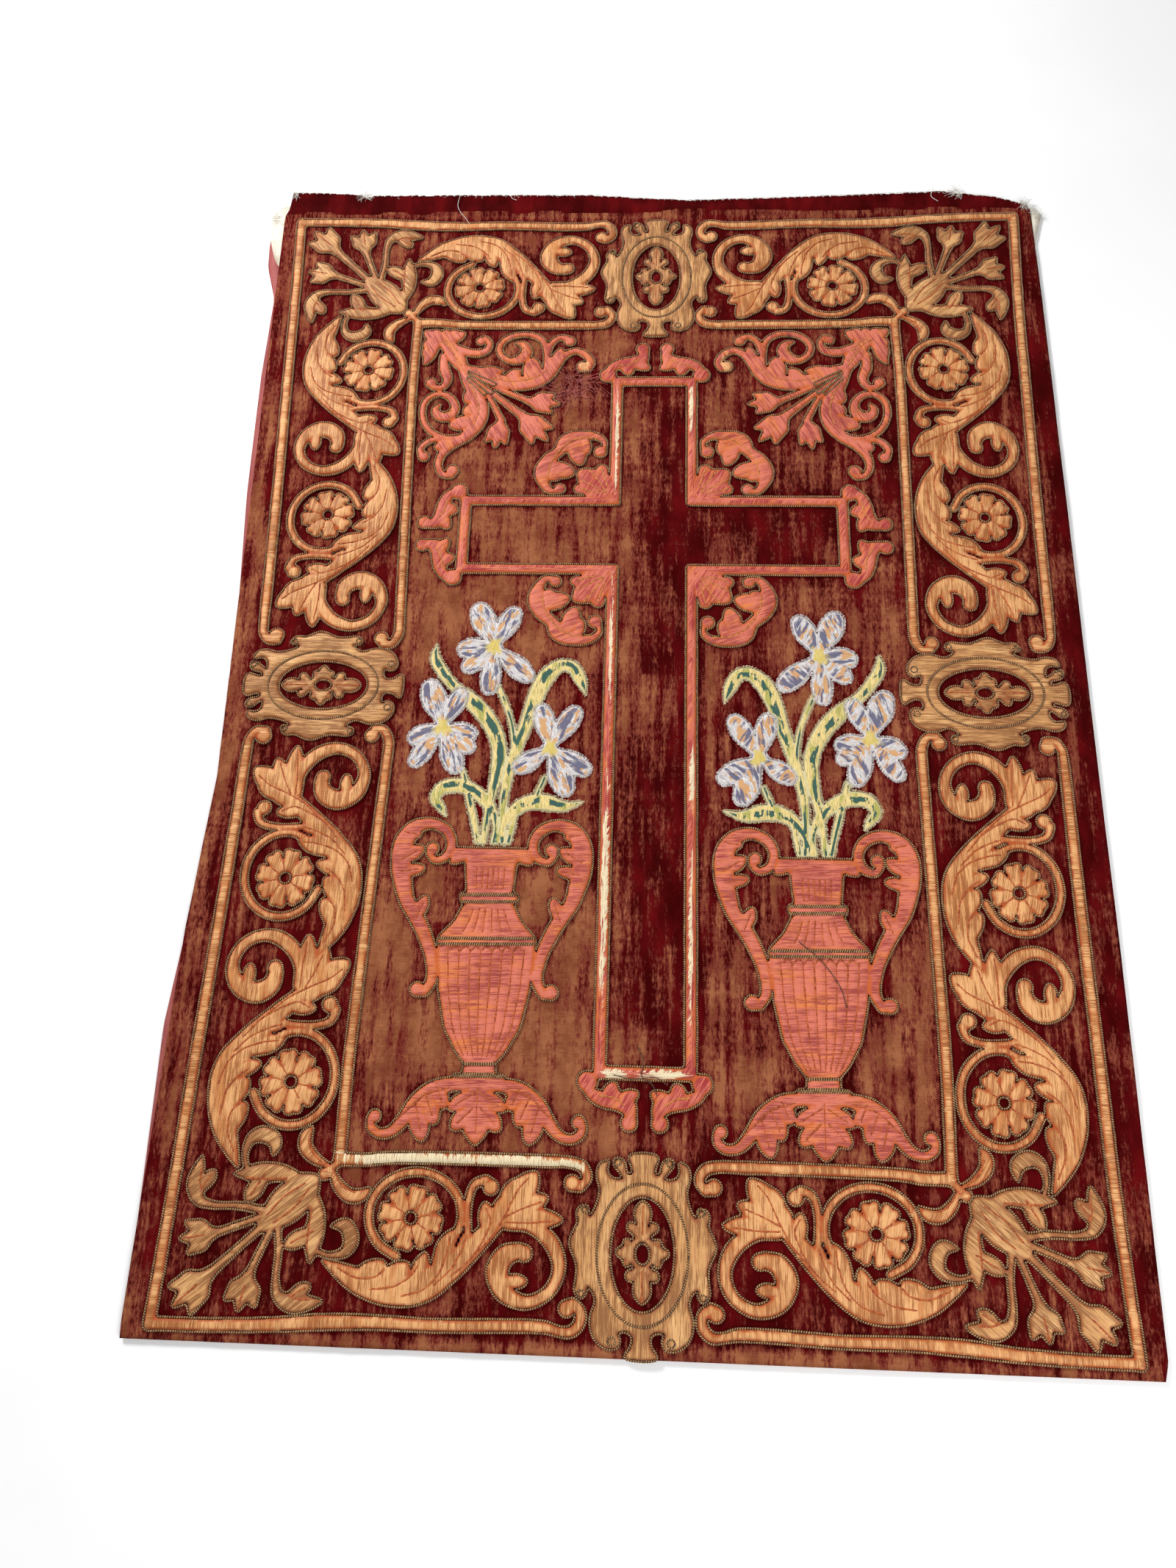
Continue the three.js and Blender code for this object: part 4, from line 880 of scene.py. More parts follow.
SCROLL = [
    strand([-105, 57, 1], [-86, 67, 14], [-58, 80, 28], [-22, 88, 34], [12, 84, 34], [42, 63, 30],
        [70, 36, 24], [95, 9, 18], [112, -8, 12]),
    *lobes([-64, 78, -31, 57, 24, 0.2], [-34, 82, -4, 58, 26, 0.2], [2, 78, 15, 45, 18, 0.2],
        [30, 62, 45, 19, 22, 0], [54, 50, 63, 18, 13, 0], [86, 22, 80, -14, 19, 0], [96, 10, 102, -22, 20, 0],
        [102, -2, 115, -42, 22, 0], [106, -6, 139, -50, 30, 0], [106, -2, 153, -22, 24, 0],
        [108, 8, 171, 4, 24, -0.2]),
    strand(*arc(RING, 34, -250)),
    strand([64, 38, 9], [61, 10, 8], [61, -16, 8], [67, -34, 9], [80, -39, 11]),
    bulb(86, -31, 9),
    strand([112, 6, 12], [140, 14, 16], [160, 32, 17], [168, 58, 14], [157, 84, 13], [132, 96, 14],
        [107, 86, 20], [98, 63, 25], [107, 45, 22], [122, 40, 17]),
    bulb(128, 42, 9),
    lobe(106, 74, 133, 73, 15),
]
SCROLL_VEINS = [
    [[-84, 66], [-62, 76], [-40, 74], [-30, 64]], [[-44, 88], [-18, 84], [0, 72], [8, 60]],
    [[-8, 94], [16, 86], [32, 68], [40, 44], [42, 28]], [[28, 80], [46, 62], [56, 42], [61, 26]],
    [[46, 70], [66, 52], [80, 30], [88, 8], [82, -6]],
    [[66, 52], [92, 22], [106, -4], [118, -30], [128, -42]],
    [[104, 2], [124, -8], [144, -16]], [[106, 8], [130, 8], [158, 5]],
    [[110, 80], [132, 88], [152, 80], [160, 60], [154, 36]]]


for quarter, place in QUARTERS.items():
    for name, maps in (("scroll_along_", [along_top]), ("scroll_side_", [down_side, down_side_mirrored])):
        parts = [moved(part, scroll_map) for scroll_map in maps for part in SCROLL]
        veins = [placed(line, scroll_map) for scroll_map in maps for line in SCROLL_VEINS]
        applique(name + quarter, parts, GOLD_SILK, place, veins=veins, lobe_veins=False)
    couch("scrolls_" + quarter, "gold_silk")


# The rosettes: a padded gold flower of eight notched petals in each ring, with an open eye. Red stitches
# run out between the petals and draw the padding in there.
ROSETTE = {"radius": 38, "notch": 24, "eye": 8, "petals": 8, "turned": 0.2}


def rosette(x, y):
    step, outline, veins = 2 * math.pi / ROSETTE["petals"], [], []
    petal = rows("turn reach", [-0.5, -0.05], [-0.46, 0.25], [-0.44, 0.6], [-0.38, 0.86], [-0.25, 1],
        [-0.12, 0.97], [0, 0.8], [0.12, 0.97], [0.25, 1], [0.38, 0.86], [0.44, 0.6], [0.46, 0.25])
    for i in range(ROSETTE["petals"]):
        for spot in petal:
            r = ROSETTE["notch"] + (ROSETTE["radius"] - ROSETTE["notch"]) * spot["reach"]
            turn = (i + spot["turn"]) * step + ROSETTE["turned"]
            outline.append((x + r * math.cos(turn), y + r * math.sin(turn)))
        turn = (i - 0.5) * step + ROSETTE["turned"]
        veins.append([[x + r * math.cos(turn), y + r * math.sin(turn)] for r in (11, 15, 21)])
    return [cut_shape(outline)], [bulb(x, y, ROSETTE["eye"])], veins


ROSETTE_PARTS, ROSETTE_EYE, ROSETTE_VEINS = rosette(-5, 7)
for quarter, place in QUARTERS.items():
    for name, ring_map in (("along_", along_top), ("upper_", down_side), ("lower_", down_side_mirrored)):
        applique("rosette_" + name + quarter, ROSETTE_PARTS, GOLD_SILK,
            lambda x, y, place=place, ring_map=ring_map: place(*ring_map(x, y)), holes=ROSETTE_EYE,
            veins=ROSETTE_VEINS, lay=80)
couch("rosettes", "gold_silk")


# The cartouches: strapwork of old gold silk at the middle of each side, with curled flanges round an
# oval window that holds a four petal flower. A couched cord marks the window's rim and each curl.
WINDOW = {"x": 37, "y": 61, "rim_x": 52, "rim_y": 75, "drop": -2, "eye": (9, 12)}
RIM_LEVEL = PAD_HIGH - 1.0
CARTOUCHE_HALF = [[17, 103], [13, 88], [14, 82], [19, 84], [22, 96], [31, 101], [35, 93],
    [29, 86], [24, 78], [36, 78], [42, 86], [40, 97], [51, 93], [54, 80], [50, 66], [54, 46], [61, 36],
    [63, 44], [71, 47], [76, 39], [74, 30], [83, 8], [74, -16], [75, -34], [76, -42], [70, -50], [63, -46],
    [62, -38], [56, -42], [52, -52], [57, -68], [56, -82], [50, -93], [38, -100], [27, -99], [23, -91],
    [26, -84], [18, -82], [10, -87], [12, -98], [19, -108]]


def oval(a, b, sides=44):
    turns = np.linspace(0, 2 * math.pi, sides, endpoint=False)
    return np.stack([a * np.cos(turns), b * np.sin(turns) + WINDOW["drop"]], 1)


def rounded(points, steps=4):
    """The same closed outline with its corners eased by a smooth line through its points."""
    loop = np.asarray(points, float)
    return smoothed(np.vstack([loop[-2:], loop, loop[:2]]), steps)[2 * steps : -steps - 1]


CARTOUCHE = [cut_shape(rounded([*CARTOUCHE_HALF, *((-x, y) for x, y in CARTOUCHE_HALF[::-1])]))]
FLOWER = [
    strand([0, 8, 15], [0, 25, 12], [0, 34, 15], [0, 41, 19], [0, 48, 11], [0, 54, 1]),
    strand([0, -12, 15], [0, -26, 12], [0, -35, 18], [0, -41, 19], [0, -48, 10], [0, -54, 1]),
    bulb(0, 0, 17),
    *both_sides([
        strand([0, 14, 8], [10, 23, 8]), bulb(12.5, 26, 5.5),
        strand([0, -14, 8], [10, -22, 8]), bulb(13, -25, 6),
        strand([8, -1, 24], [15, -1, 20], [20, -1, 11]), bulb(25, -1, 5),
        bulb(17.5, 10, 4), bulb(17.5, -12, 4)], lambda x, y: (-x, y)),
]
CURLS, CURL_RADIUS = rows("x y", [31, 96], [66, 44], [68, -46], [33, -92]), 4.5
CURL_TURNS = np.linspace(0, 2 * math.pi, 12, endpoint=False)
RIM_LINE = oval(WINDOW["rim_x"], WINDOW["rim_y"])
FLOWER_VEINS = [[[0, 20], [0, 34], [0, 48]], [[0, -20], [0, -34], [0, -50]]]
CARTOUCHE_AT = {"top": 675, "bottom": -689, "left": -434, "right": 445, "side_width": 0.95}
CARTOUCHES = {
    "top": lambda x, y: (MIDDLE_X + x, CARTOUCHE_AT["top"] + y),
    "bottom": lambda x, y: (MIDDLE_X + x, CARTOUCHE_AT["bottom"] + y),
    "left": lambda x, y: (CARTOUCHE_AT["left"] - y, x * CARTOUCHE_AT["side_width"]),
    "right": lambda x, y: (CARTOUCHE_AT["right"] + y, x * CARTOUCHE_AT["side_width"])}
for side, place in CARTOUCHES.items():
    applique("cartouche_" + side, CARTOUCHE, OLD_GOLD_SILK, place,
        holes=[cut_shape(oval(WINDOW["x"], WINDOW["y"]))], more=FLOWER,
        eye=cut_shape(oval(*WINDOW["eye"], 20)),
        veins=[*FLOWER_VEINS, [*RIM_LINE, RIM_LINE[0]]],
        lay=0 if side in ("left", "right") else 90, grooves=1.6, lobe_veins=False)
    couched.append(np.column_stack([placed(RIM_LINE, place), np.full(len(RIM_LINE), RIM_LEVEL)]))
    for curl in CURLS:
        for way in (-1, 1):
            x = way * (curl["x"] + CURL_RADIUS * np.cos(CURL_TURNS))
            y = curl["y"] + CURL_RADIUS * np.sin(CURL_TURNS)
            couched.append(np.column_stack([*place(x, y), np.full(len(x), RIM_LEVEL)]))
couch("cartouches", "old_gold")


# The cross: a narrow band of padded pink silk round four beams of bare velvet, with a crest at each end
# and a shell in each inner corner. The band has worn through to its cotton core in places.
PINK, PINK_SHADE, PINK_EDGE = (0.67, 0.18, 0.115), (0.33, 0.055, 0.045), (0.54, 0.11, 0.022)
PINK_TINT = (0.70, 0.20, 0.065)
BEAM = {"half": 61, "band": 14, "top": 492, "bottom": -500, "left": -264, "right": 277,
    "arm_top": 292.5, "arm_bottom": 170.5}
PINK_SILK = silk("salmon_pink_silk", PINK, PINK_SHADE, PINK_EDGE, PINK_TINT, streak=0.8)
ORANGE_THREAD = stitch_thread("orange_stitching_silk", (0.72, 0.30, 0.07), (0.40, 0.12, 0.03))
FRAYED_PINK = silk("frayed_pink_silk", PINK, (0.34, 0.035, 0.035), PINK_EDGE, PINK_TINT, streak=0.9)


def cross_outline(inset):
    side, top, bottom = BEAM["half"] - inset, BEAM["top"] - inset, BEAM["bottom"] + inset
    left, right = BEAM["left"] - MIDDLE_X + inset, BEAM["right"] - MIDDLE_X - inset
    high, low = BEAM["arm_top"] - inset, BEAM["arm_bottom"] + inset
    return [(MIDDLE_X + x, y) for x, y in (
        (-side, top), (-side, high), (left, high), (left, low), (-side, low), (-side, bottom),
        (side, bottom), (side, low), (right, low), (right, high), (side, high), (side, top))]


def across_beam(x, y):
    return -x, y


CREST = both_sides([
    bulb(-68, 4, 12),
    strand([-69, 8, 12], [-62, 18, 14], [-48, 24, 18], [-32, 25, 22], [-20, 31, 20], [-15, 44, 11]),
    bulb(-18, 50, 9.5),
    *lobes([-34, 28, -7, 15, 17], [-44, 26, -36, 5, 18]),
], across_beam)
ARM_MIDDLE = (BEAM["arm_top"] + BEAM["arm_bottom"]) / 2
CRESTS = [lambda x, y: (MIDDLE_X + x, BEAM["top"] + y), lambda x, y: (MIDDLE_X + x, BEAM["bottom"] - y),
    lambda x, y: (BEAM["left"] - y, ARM_MIDDLE + x), lambda x, y: (BEAM["right"] + y, ARM_MIDDLE + x)]
SHELL = [
    strand([7, -2, 18], [12, 43, 17]),
    strand([-2, 8, 18], [43, 12, 15]),
    cut_shape(rounded([(-2, -2), (30, -2), (44, 20), (46, 42), (22, 44), (-2, 30)])),
]
SHELL_VEINS = [[[6, 8], [20, 30], [30, 42]], [[8, 6], [28, 18], [42, 26]], [[14, 4], [30, 8], [42, 12]],
    [[4, 16], [8, 30], [12, 44]]]
CORNERS = {
    "upper_left": lambda x, y: (MIDDLE_X - BEAM["half"] - x, BEAM["arm_top"] + y),
    "upper_right": lambda x, y: (MIDDLE_X + BEAM["half"] + x, BEAM["arm_top"] + y),
    "lower_left": lambda x, y: (MIDDLE_X - BEAM["half"] - x, BEAM["arm_bottom"] - y),
    "lower_right": lambda x, y: (MIDDLE_X + BEAM["half"] + x, BEAM["arm_bottom"] - y)}
BARE_CROSS = rows("x y wide high", [-46, 400, 3, 60], [-46, 330, 2, 30], [60, 440, 3, 50], [30, -494, 34, 6],
    [-30, -494, 16, 6], [-47, -270, 5, 130], [62, -120, 4, 40], [61, -330, 3, 110], [-47, 60, 2, 120])
CREST_VEINS = both_veins([[[-52, 20], [-36, 22], [-24, 30]]], across_beam)
BAND_LINE = cross_outline(BEAM["band"] / 2)
BANDS = [strand([*start, BEAM["band"] + 0.2], [*end, BEAM["band"] + 0.2],
    lay=90 if start[0] == end[0] else 0) for start, end in zip(BAND_LINE, [*BAND_LINE[1:], BAND_LINE[0]])]
applique("cross", [*BANDS, cut_shape(cross_outline(0))], FRAYED_PINK, lay=60,
    holes=[cut_shape(cross_outline(BEAM["band"]))],
    more=[*(moved(part, place) for place in CRESTS for part in CREST),
        *(moved(part, place) for place in CORNERS.values() for part in SHELL)],
    veins=[*(placed(line, place) for place in CRESTS for line in CREST_VEINS),
        *(placed(line, place) for place in CORNERS.values() for line in SHELL_VEINS)],
    grooves=0.8, bare=BARE_CROSS, lobe_veins=False)
couch("cross", "pink_silk", thread=ORANGE_THREAD)


# The corner scrolls of the cross: leafy pink curls, cut apart from the shells and sewn round them.
CORNER_SCROLL = [
    bulb(15, 73, 9),
    strand([9, 80, 6], [10, 90, 8], [22, 99, 11], [42, 99, 18], [62, 90, 26], [74, 74, 16], [88, 60, 20],
        [96, 40, 24], [94, 22, 15], [85, 9, 10], [74, 8, 8]),
    bulb(71, 12, 8),
    *lobes([40, 96, 33, 69, 16], [54, 90, 42, 51, 24], [92, 48, 51, 37, 26], [94, 38, 72, 28, 15]),
]
CORNER_SCROLL_VEINS = [[[22, 95], [46, 94], [66, 82], [84, 56], [88, 34]]]
for corner, place in CORNERS.items():
    applique("cross_scroll_" + corner, CORNER_SCROLL, PINK_SILK, place, lay=20,
        veins=CORNER_SCROLL_VEINS, lobe_veins=False)
couch("cross_scrolls", "pink_silk", thread=ORANGE_THREAD)


# The sprays: in each upper corner of the field a crown of petals, two leafy scrolls and three buds on
# long stems, all cut from one piece of pink silk.
SPRAY = [
    strand([-326, 562, 12], [-310, 560, 22], [-297, 545, 24], [-285, 525, 24], [-276, 508, 14]),
    *lobes([-312, 560, -340, 574, 18], [-310, 562, -326, 576, 16], [-306, 562, -306, 576, 16],
        [-302, 560, -288, 576, 16], [-300, 558, -277, 572, 18], [-320, 560, -338, 548, 16],
        [-320, 556, -337, 530, 18], [-318, 552, -335, 514, 16]),
    strand([-298, 550, 12], [-281, 541, 13], [-260, 535, 13], [-243, 540, 11], [-239, 553, 9],
        [-246, 562, 9]),
    bulb(-252, 557, 7),
    strand([-306, 530, 12], [-304, 508, 15], [-298, 490, 13], [-304, 476, 10], [-318, 475, 9]),
    bulb(-322, 483, 8),
    strand([-276, 511, 8], [-252, 501, 18], [-225, 488, 22], [-195, 482, 24], [-166, 488, 25],
        [-148, 501, 20], [-137, 517, 15], [-125, 532, 11], [-110, 539, 10], [-95, 532, 11], [-87, 518, 11],
        [-92, 508, 11]),
    bulb(-99, 511, 9),
    *lobes([-254, 504, -214, 503, 16], [-210, 486, -191, 505, 20], [-174, 488, -173, 526, 27],
        [-152, 500, -143, 530, 18], [-140, 512, -131, 545, 17]),
    strand([-153, 500, 10], [-153, 532, 9], [-159, 556, 9], [-175, 567, 9], [-196, 568, 9], [-215, 560, 9],
        [-224, 545, 9], [-219, 530, 9], [-206, 522, 11], [-192, 525, 17], [-183, 538, 17], [-188, 550, 11],
        [-200, 554, 3]),
    strand([-152, 532, 8], [-146, 553, 9], [-134, 563, 9], [-123, 561, 10]),
    bulb(-119, 556, 8),
    strand([-279, 508, 8], [-268, 486, 16], [-255, 462, 22], [-247, 436, 26], [-251, 412, 24],
        [-264, 392, 18], [-282, 378, 14], [-297, 361, 12], [-301, 342, 10], [-293, 327, 9], [-281, 325, 9]),
    bulb(-280, 334, 9),
    *lobes([-258, 474, -268, 448, 18], [-250, 444, -269, 430, 20], [-252, 418, -290, 409, 24],
        [-284, 382, -308, 371, 18]),
    strand([-262, 391, 8], [-293, 388, 9], [-312, 396, 9], [-326, 413, 9], [-331, 433, 9], [-327, 452, 9],
        [-313, 463, 9], [-297, 461, 10], [-286, 450, 11], [-284, 436, 14], [-293, 425, 17], [-306, 426, 15],
        [-312, 437, 10], [-305, 446, 3]),
    strand([-300, 387, 8], [-318, 383, 9], [-329, 370, 9], [-327, 360, 9]),
    bulb(-323, 357, 8),
    strand([-275, 508, 7], [-224, 475, 8], [-172, 450, 9]),
    bud(-180, 452, -128, 446, 36),
    strand([-276, 506, 8], [-226, 462, 8], [-182, 424, 12]),
    bud(-188, 430, -144, 382, 42),
    strand([-277, 505, 7], [-236, 460, 7], [-214, 418, 9]),
    bud(-214, 422, -222, 368, 34),
]
SPRAY_VEINS = [[[-232, 490], [-200, 484], [-170, 490], [-150, 504]],
    [[-268, 486], [-254, 460], [-248, 434], [-254, 410]],
    [[-314, 556], [-300, 548], [-288, 528], [-278, 512]], [[-308, 560], [-296, 552], [-284, 536]],
    [[-190, 548], [-188, 536], [-200, 528]], [[-304, 440], [-300, 430], [-288, 434]]]
# The stems start at the crown, where only their cords mark them off from the scrolls.
STEMS = rows("x y toX toY half", [-268, 500, -226, 478, 3], [-266, 495, -230, 464, 3],
    [-268, 491, -240, 462, 3])
SPRAY_SILK = silk("salmon_pink_silk_with_gold_hook", PINK, PINK_SHADE, PINK_EDGE, PINK_TINT, streak=0.8,
    core=GOLD)
STEM_LEVEL = PAD_HIGH - 0.7
RIGHT_SPRAY_WIDTH = 0.985
HOOK = (-98, 514)
SPRAYS = {"left": as_drawn, "right": lambda x, y: (MIDDLE_X + (MIDDLE_X - x) * RIGHT_SPRAY_WIDTH, y)}
for side, place in SPRAYS.items():
    hook = place(*HOOK)
    applique("spray_" + side, SPRAY, SPRAY_SILK, place, lay=120, veins=SPRAY_VEINS,
        lobe_veins=False, bare=[{"x": hook[0], "y": hook[1], "wide": 9, "high": 15}])
    for stem in STEMS:
        run = np.array([stem["toX"] - stem["x"], stem["toY"] - stem["y"]], float)
        aside = np.array([-run[1], run[0]]) / math.hypot(*run) * stem["half"]
        sides = [(stem["x"], stem["y"]) + way * aside + run * far
            for way, far in ((1, 0), (1, 0.5), (1, 1), (-1, 1), (-1, 0.5), (-1, 0))]
        couched.append(np.column_stack([placed(sides, place), np.full(len(sides), STEM_LEVEL)]))
couch("sprays", "pink_silk", thread=ORANGE_THREAD)


# The urns: pink silk with its fibres laid across, stitched down in flutes that follow the turned shape,
# with two scrolled handles, ring mouldings marked by cords, and a leafy foot.
URN_PROFILE = [[44, -221], [52, -228], [53, -243], [42, -242], [33, -238], [29, -279], [36, -280],
    [36, -291], [31, -293], [42, -315], [61, -336], [60, -362], [56, -400], [46, -445], [31, -472],
    [19, -486], [20, -500], [31, -500], [31, -510]]
HANDLE = [
    bulb(-76, -223, 8),
    strand([-80, -229, 8], [-72, -238, 9], [-58, -233, 11], [-52, -216, 12], [-60, -199, 13], [-80, -190, 14],
        [-101, -196, 19], [-113, -215, 25], [-115, -244, 25], [-110, -270, 22], [-103, -292, 18],
        [-90, -312, 18], [-78, -334, 17], [-68, -360, 15], [-65, -388, 13], [-73, -404, 11]),
    bulb(-82, -401, 9),
    *lobes([-112, -202, -92, -206, 13], [-114, -238, -87, -221, 19], [-112, -254, -83, -248, 15],
        [-90, -312, -79, -284, 16]),
]
FOOT = [
    strand([0, -508, 24], [0, -530, 30], [0, -560, 34], [0, -586, 1]),
    strand([0, -514, 16], [-30, -512, 16], [-55, -519, 22], [-76, -535, 22], [-92, -556, 17],
        [-106, -571, 13], [-121, -575, 11], [-133, -568, 11], [-135, -558, 10]),
    bulb(-130, -554, 8),
    *lobes([-52, -518, -42, -542, 20], [-66, -528, -52, -562, 22], [-78, -540, -67, -583, 25],
        [-6, -524, -37, -543, 20], [-6, -542, -31, -567, 22]),
]
FOOT_TOP, FOOT_SHRINK = -507, 0.93
URNS = {"left": (-191, 0), "right": (217, -6)}
RING_LEVEL, RING_APART = PAD_HIGH - 0.5, 1.6


def lowered(x, y):
    return x * FOOT_SHRINK, FOOT_TOP + (y - FOOT_TOP) * FOOT_SHRINK


def urn_half(y):
    profile = np.array(URN_PROFILE, float)[::-1]
    return np.interp(y, np.maximum.accumulate(profile[:, 1]), profile[:, 0])


def flutes(shares, high, low, spots=9):
    return [[[share * urn_half(y), y] for y in np.linspace(high, low, spots)] for share in shares]


URN = [cut_shape([*URN_PROFILE, *((-x, y) for x, y in URN_PROFILE[::-1])]), *both_sides(HANDLE, across_beam),
    *(moved(part, lowered) for part in both_sides(FOOT, across_beam))]
SHARES = (-0.78, -0.56, -0.33, -0.11, 0.11, 0.33, 0.56, 0.78)
FLUTE_ENDS, ARCH_SPREAD = (-0.67, -0.44, -0.22, 0, 0.22, 0.44, 0.67), 58
URN_VEINS = [*flutes(SHARES, -352, -478), *flutes(SHARES[1:-1], -300, -328, 5),
    *flutes(SHARES[1:-1], -248, -274, 5),
    *([[share * ARCH_SPREAD - 5, -352], [share * ARCH_SPREAD, -346], [share * ARCH_SPREAD + 6, -352]]
        for share in FLUTE_ENDS),
    [[0, -516], [0, -540], [0, -566]],
    *both_veins([[[-34, -516], [-62, -524], [-86, -546], [-104, -562]]], across_beam)]
URN_CORDS = rows("half y", [60, -336], [60, -343], [36, -281], [36, -290], [21, -487], [20, -499], [31, -501])
for side, (across, up) in URNS.items():
    def on_axis(x, y, across=across, up=up):
        return across + x, up + y

    applique("urn_" + side, URN, PINK_SILK, on_axis, lay=2, veins=URN_VEINS, grooves=2.8)
    for ring in URN_CORDS:
        x = np.linspace(-ring["half"], ring["half"], 12)
        line = np.column_stack([*on_axis(x, ring["y"] + 0.02 * x), np.full(len(x), RING_LEVEL)])
        couched.append(np.vstack([line, line[::-1] - (0, RING_APART, 0)]))
couch("urns", "pink_silk")


# The irises: petals of white silk darned over a painted ground of ochre, slate blue and yellow, their
# edges covered by short white stitches that fray outwards. Three flowers stand in each urn.
FLAT_HIGH = 7.0
HEART_RADIUS = 10
# For each flower its heart's place and its petals.
IRISES = {
    "upper": (-204, 59, rows("angle long wide", [113, 66, 35], [64, 62, 31], [186, 44, 33], [222, 50, 28],
        [-42, 70, 31], [-93, 68, 29])),
    "outer": (-266, -57, rows("angle long wide", [110, 66, 36], [66, 58, 27], [205, 44, 30], [236, 66, 27],
        [-14, 44, 26], [-38, 52, 26], [-70, 66, 31])),
    "inner": (-123, -85, rows("angle long wide", [103, 60, 29], [58, 66, 30], [215, 52, 28], [-32, 60, 30],
        [-68, 66, 34])),
}


def petal(x, y, angle, long, wide):
    turn = math.radians(angle)
    run = np.array([math.cos(turn), math.sin(turn)])
    shape = rows("far half", [0, 0.3], [0.2, 0.42], [0.42, 0.72], [0.66, 0.94], [0.87, 0.74])
    points = smoothed(np.array([[*(np.array([x, y]) + run * s["far"] * long), s["half"] * wide / 2]
        for s in shape]), 5)
    return {"line": points[:, :2], "half": points[:, 2], "lay": angle}


def iris_silk():
    material, spot = finish_of("darned_iris_silk", sheen=0.25)
    deep, along = (kept_on_mesh(spot, name) for name in ("Depth", "Along"))
    fibres = node(spot, "UVMap", uv_map="Fibres").outputs[0]
    fine = grain(fibres, (120, 1300, 1), 3)
    patches = grain(fibres, (42, 95, 1), 4)
    elsewhere = node(spot, "Mapping", {"Vector": fibres, "Location": (3, 7, 0)}).outputs[0]
    shadows = grain(elsewhere, (26, 120, 1), 4)
    white = mixed(between(fine, 0.35, 0.65), (0.42, 0.38, 0.38), (0.86, 0.82, 0.8))
    ochre = mixed(between(patches, 0.51, 0.54), white, (0.66, 0.36, 0.16))
    blue = mixed(fine, (0.05, 0.045, 0.10), (0.24, 0.23, 0.32))
    slate = mixed(between(shadows, 0.49, 0.56), ochre, blue)
    near_heart = between(weighed((along, 1), (patches, 30.0)), 31.0, 22.0)
    heart = mixed(sums("MULTIPLY", near_heart, 0.9), slate, (0.72, 0.55, 0.13))
    rim = between(weighed((deep, 1), (grain(spot, (150, 150, 1), 3), 4.0)), 5.6, 4.2)
    return dressed(material, mixed(rim, heart, white), fine, 0.0009)


IRIS_SILK = iris_silk()
WHITE_THREAD = stitch_thread("white_darning_silk", (0.86, 0.82, 0.78), (0.52, 0.47, 0.46))
RIGHT_BUNCH_DROP = 9
BUNCHES = {"left": as_drawn,
    "right": lambda x, y: (URNS["left"][0] + URNS["right"][0] - x, y - RIGHT_BUNCH_DROP)}
for side, place in BUNCHES.items():
    for which, (x, y, petals) in IRISES.items():
        parts = [petal(x, y, **row) for row in petals]
        applique(f"iris_{which}_{side}", [bulb(x, y, HEART_RADIUS), *parts], IRIS_SILK,
            place, high=FLAT_HIGH, grooves=0)
laid_along("iris_edges", couched, STITCH_TREE, "iris_white", closed=True, smooth=False, Spacing=0.0012,
    Length=0.0024, Radius=0.0003, Slant=math.pi / 2, Uneven=0.5, Seed=11, Thread=WHITE_THREAD)
couched.clear()


# The leaves: sword leaves and stems of green and ochre silk that rise from each urn's mouth and pass
# under the flowers. Their edges are whipped with cream silk, now frayed.
LEAVES = [
    strand([-282, 63, 1], [-283, 42, 14], [-272, 22, 16], [-256, 2, 15], [-228, -22, 22], [-204, -50, 22],
        [-190, -84, 20], [-190, -118, 18], [-196, -150, 12], [-200, -180, 10], [-203, -213, 9]),
    strand([-178, -213, 9], [-180, -170, 10], [-177, -130, 14], [-166, -84, 16], [-154, -46, 18],
        [-143, -8, 22], [-130, 18, 23], [-112, 33, 18], [-98, 31, 17], [-87, 14, 17], [-78, -10, 1]),
    strand([-252, -182, 1], [-260, -169, 11], [-269, -156, 14], [-260, -142, 18], [-240, -138, 20],
        [-215, -148, 18], [-196, -168, 14], [-188, -190, 9], [-190, -213, 8]),
    strand([-186, -213, 8], [-180, -195, 10], [-168, -174, 16], [-150, -161, 20], [-126, -159, 22],
        [-104, -164, 15], [-90, -162, 9], [-74, -156, 1]),
    strand([-197, 4, 8], [-181, -32, 8], [-172, -66, 8], [-171, -98, 8], [-178, -130, 8]),
    strand([-244, -98, 8], [-231, -132, 9], [-222, -165, 10], [-214, -195, 9], [-210, -213, 9]),
    strand([-128, -126, 8], [-140, -156, 8]),
    strand([-164, -174, 8], [-168, -196, 9], [-171, -213, 8]),
]
LEAF_CLEAR = 0.6


def leaf_silk():
    material, spot = finish_of("green_leaf_silk", sheen=0.2)
    side, deep = (kept_on_mesh(spot, name) for name in ("Side", "Depth"))
    fibres = node(spot, "UVMap", uv_map="Fibres").outputs[0]
    fine = grain(spot, (700, 700, 1), 3)
    threads = grain(fibres, (90, 1400, 1), 3)
    patches = grain(fibres, (22, 90, 1), 4)
    wool = mixed(between(patches, 0.4, 0.48), (0.46, 0.43, 0.11), (0.86, 0.66, 0.27))
    leaf = mixed(between(threads, 0.34, 0.54), (0.33, 0.29, 0.08), wool)
    middle = sums("ADD", sums("SUBTRACT", side, 0.12), sums("SUBTRACT", patches, 0.5))
    teal = sums("MULTIPLY", between(sums("ABSOLUTE", middle), 0.42, 0.3),
        between(grain(fibres, (24, 60, 1), 4), 0.48, 0.51))
    shaded = mixed(teal, leaf, mixed(threads, (0.012, 0.05, 0.04), (0.07, 0.16, 0.12)))
    rim = between(weighed((deep, 1), (fine, 1.4)), 3.3, 2.6)
    whipped = mixed(fine, (0.48, 0.40, 0.18), (0.84, 0.76, 0.46))
    return dressed(material, mixed(rim, shaded, whipped), fine, 0.0009)


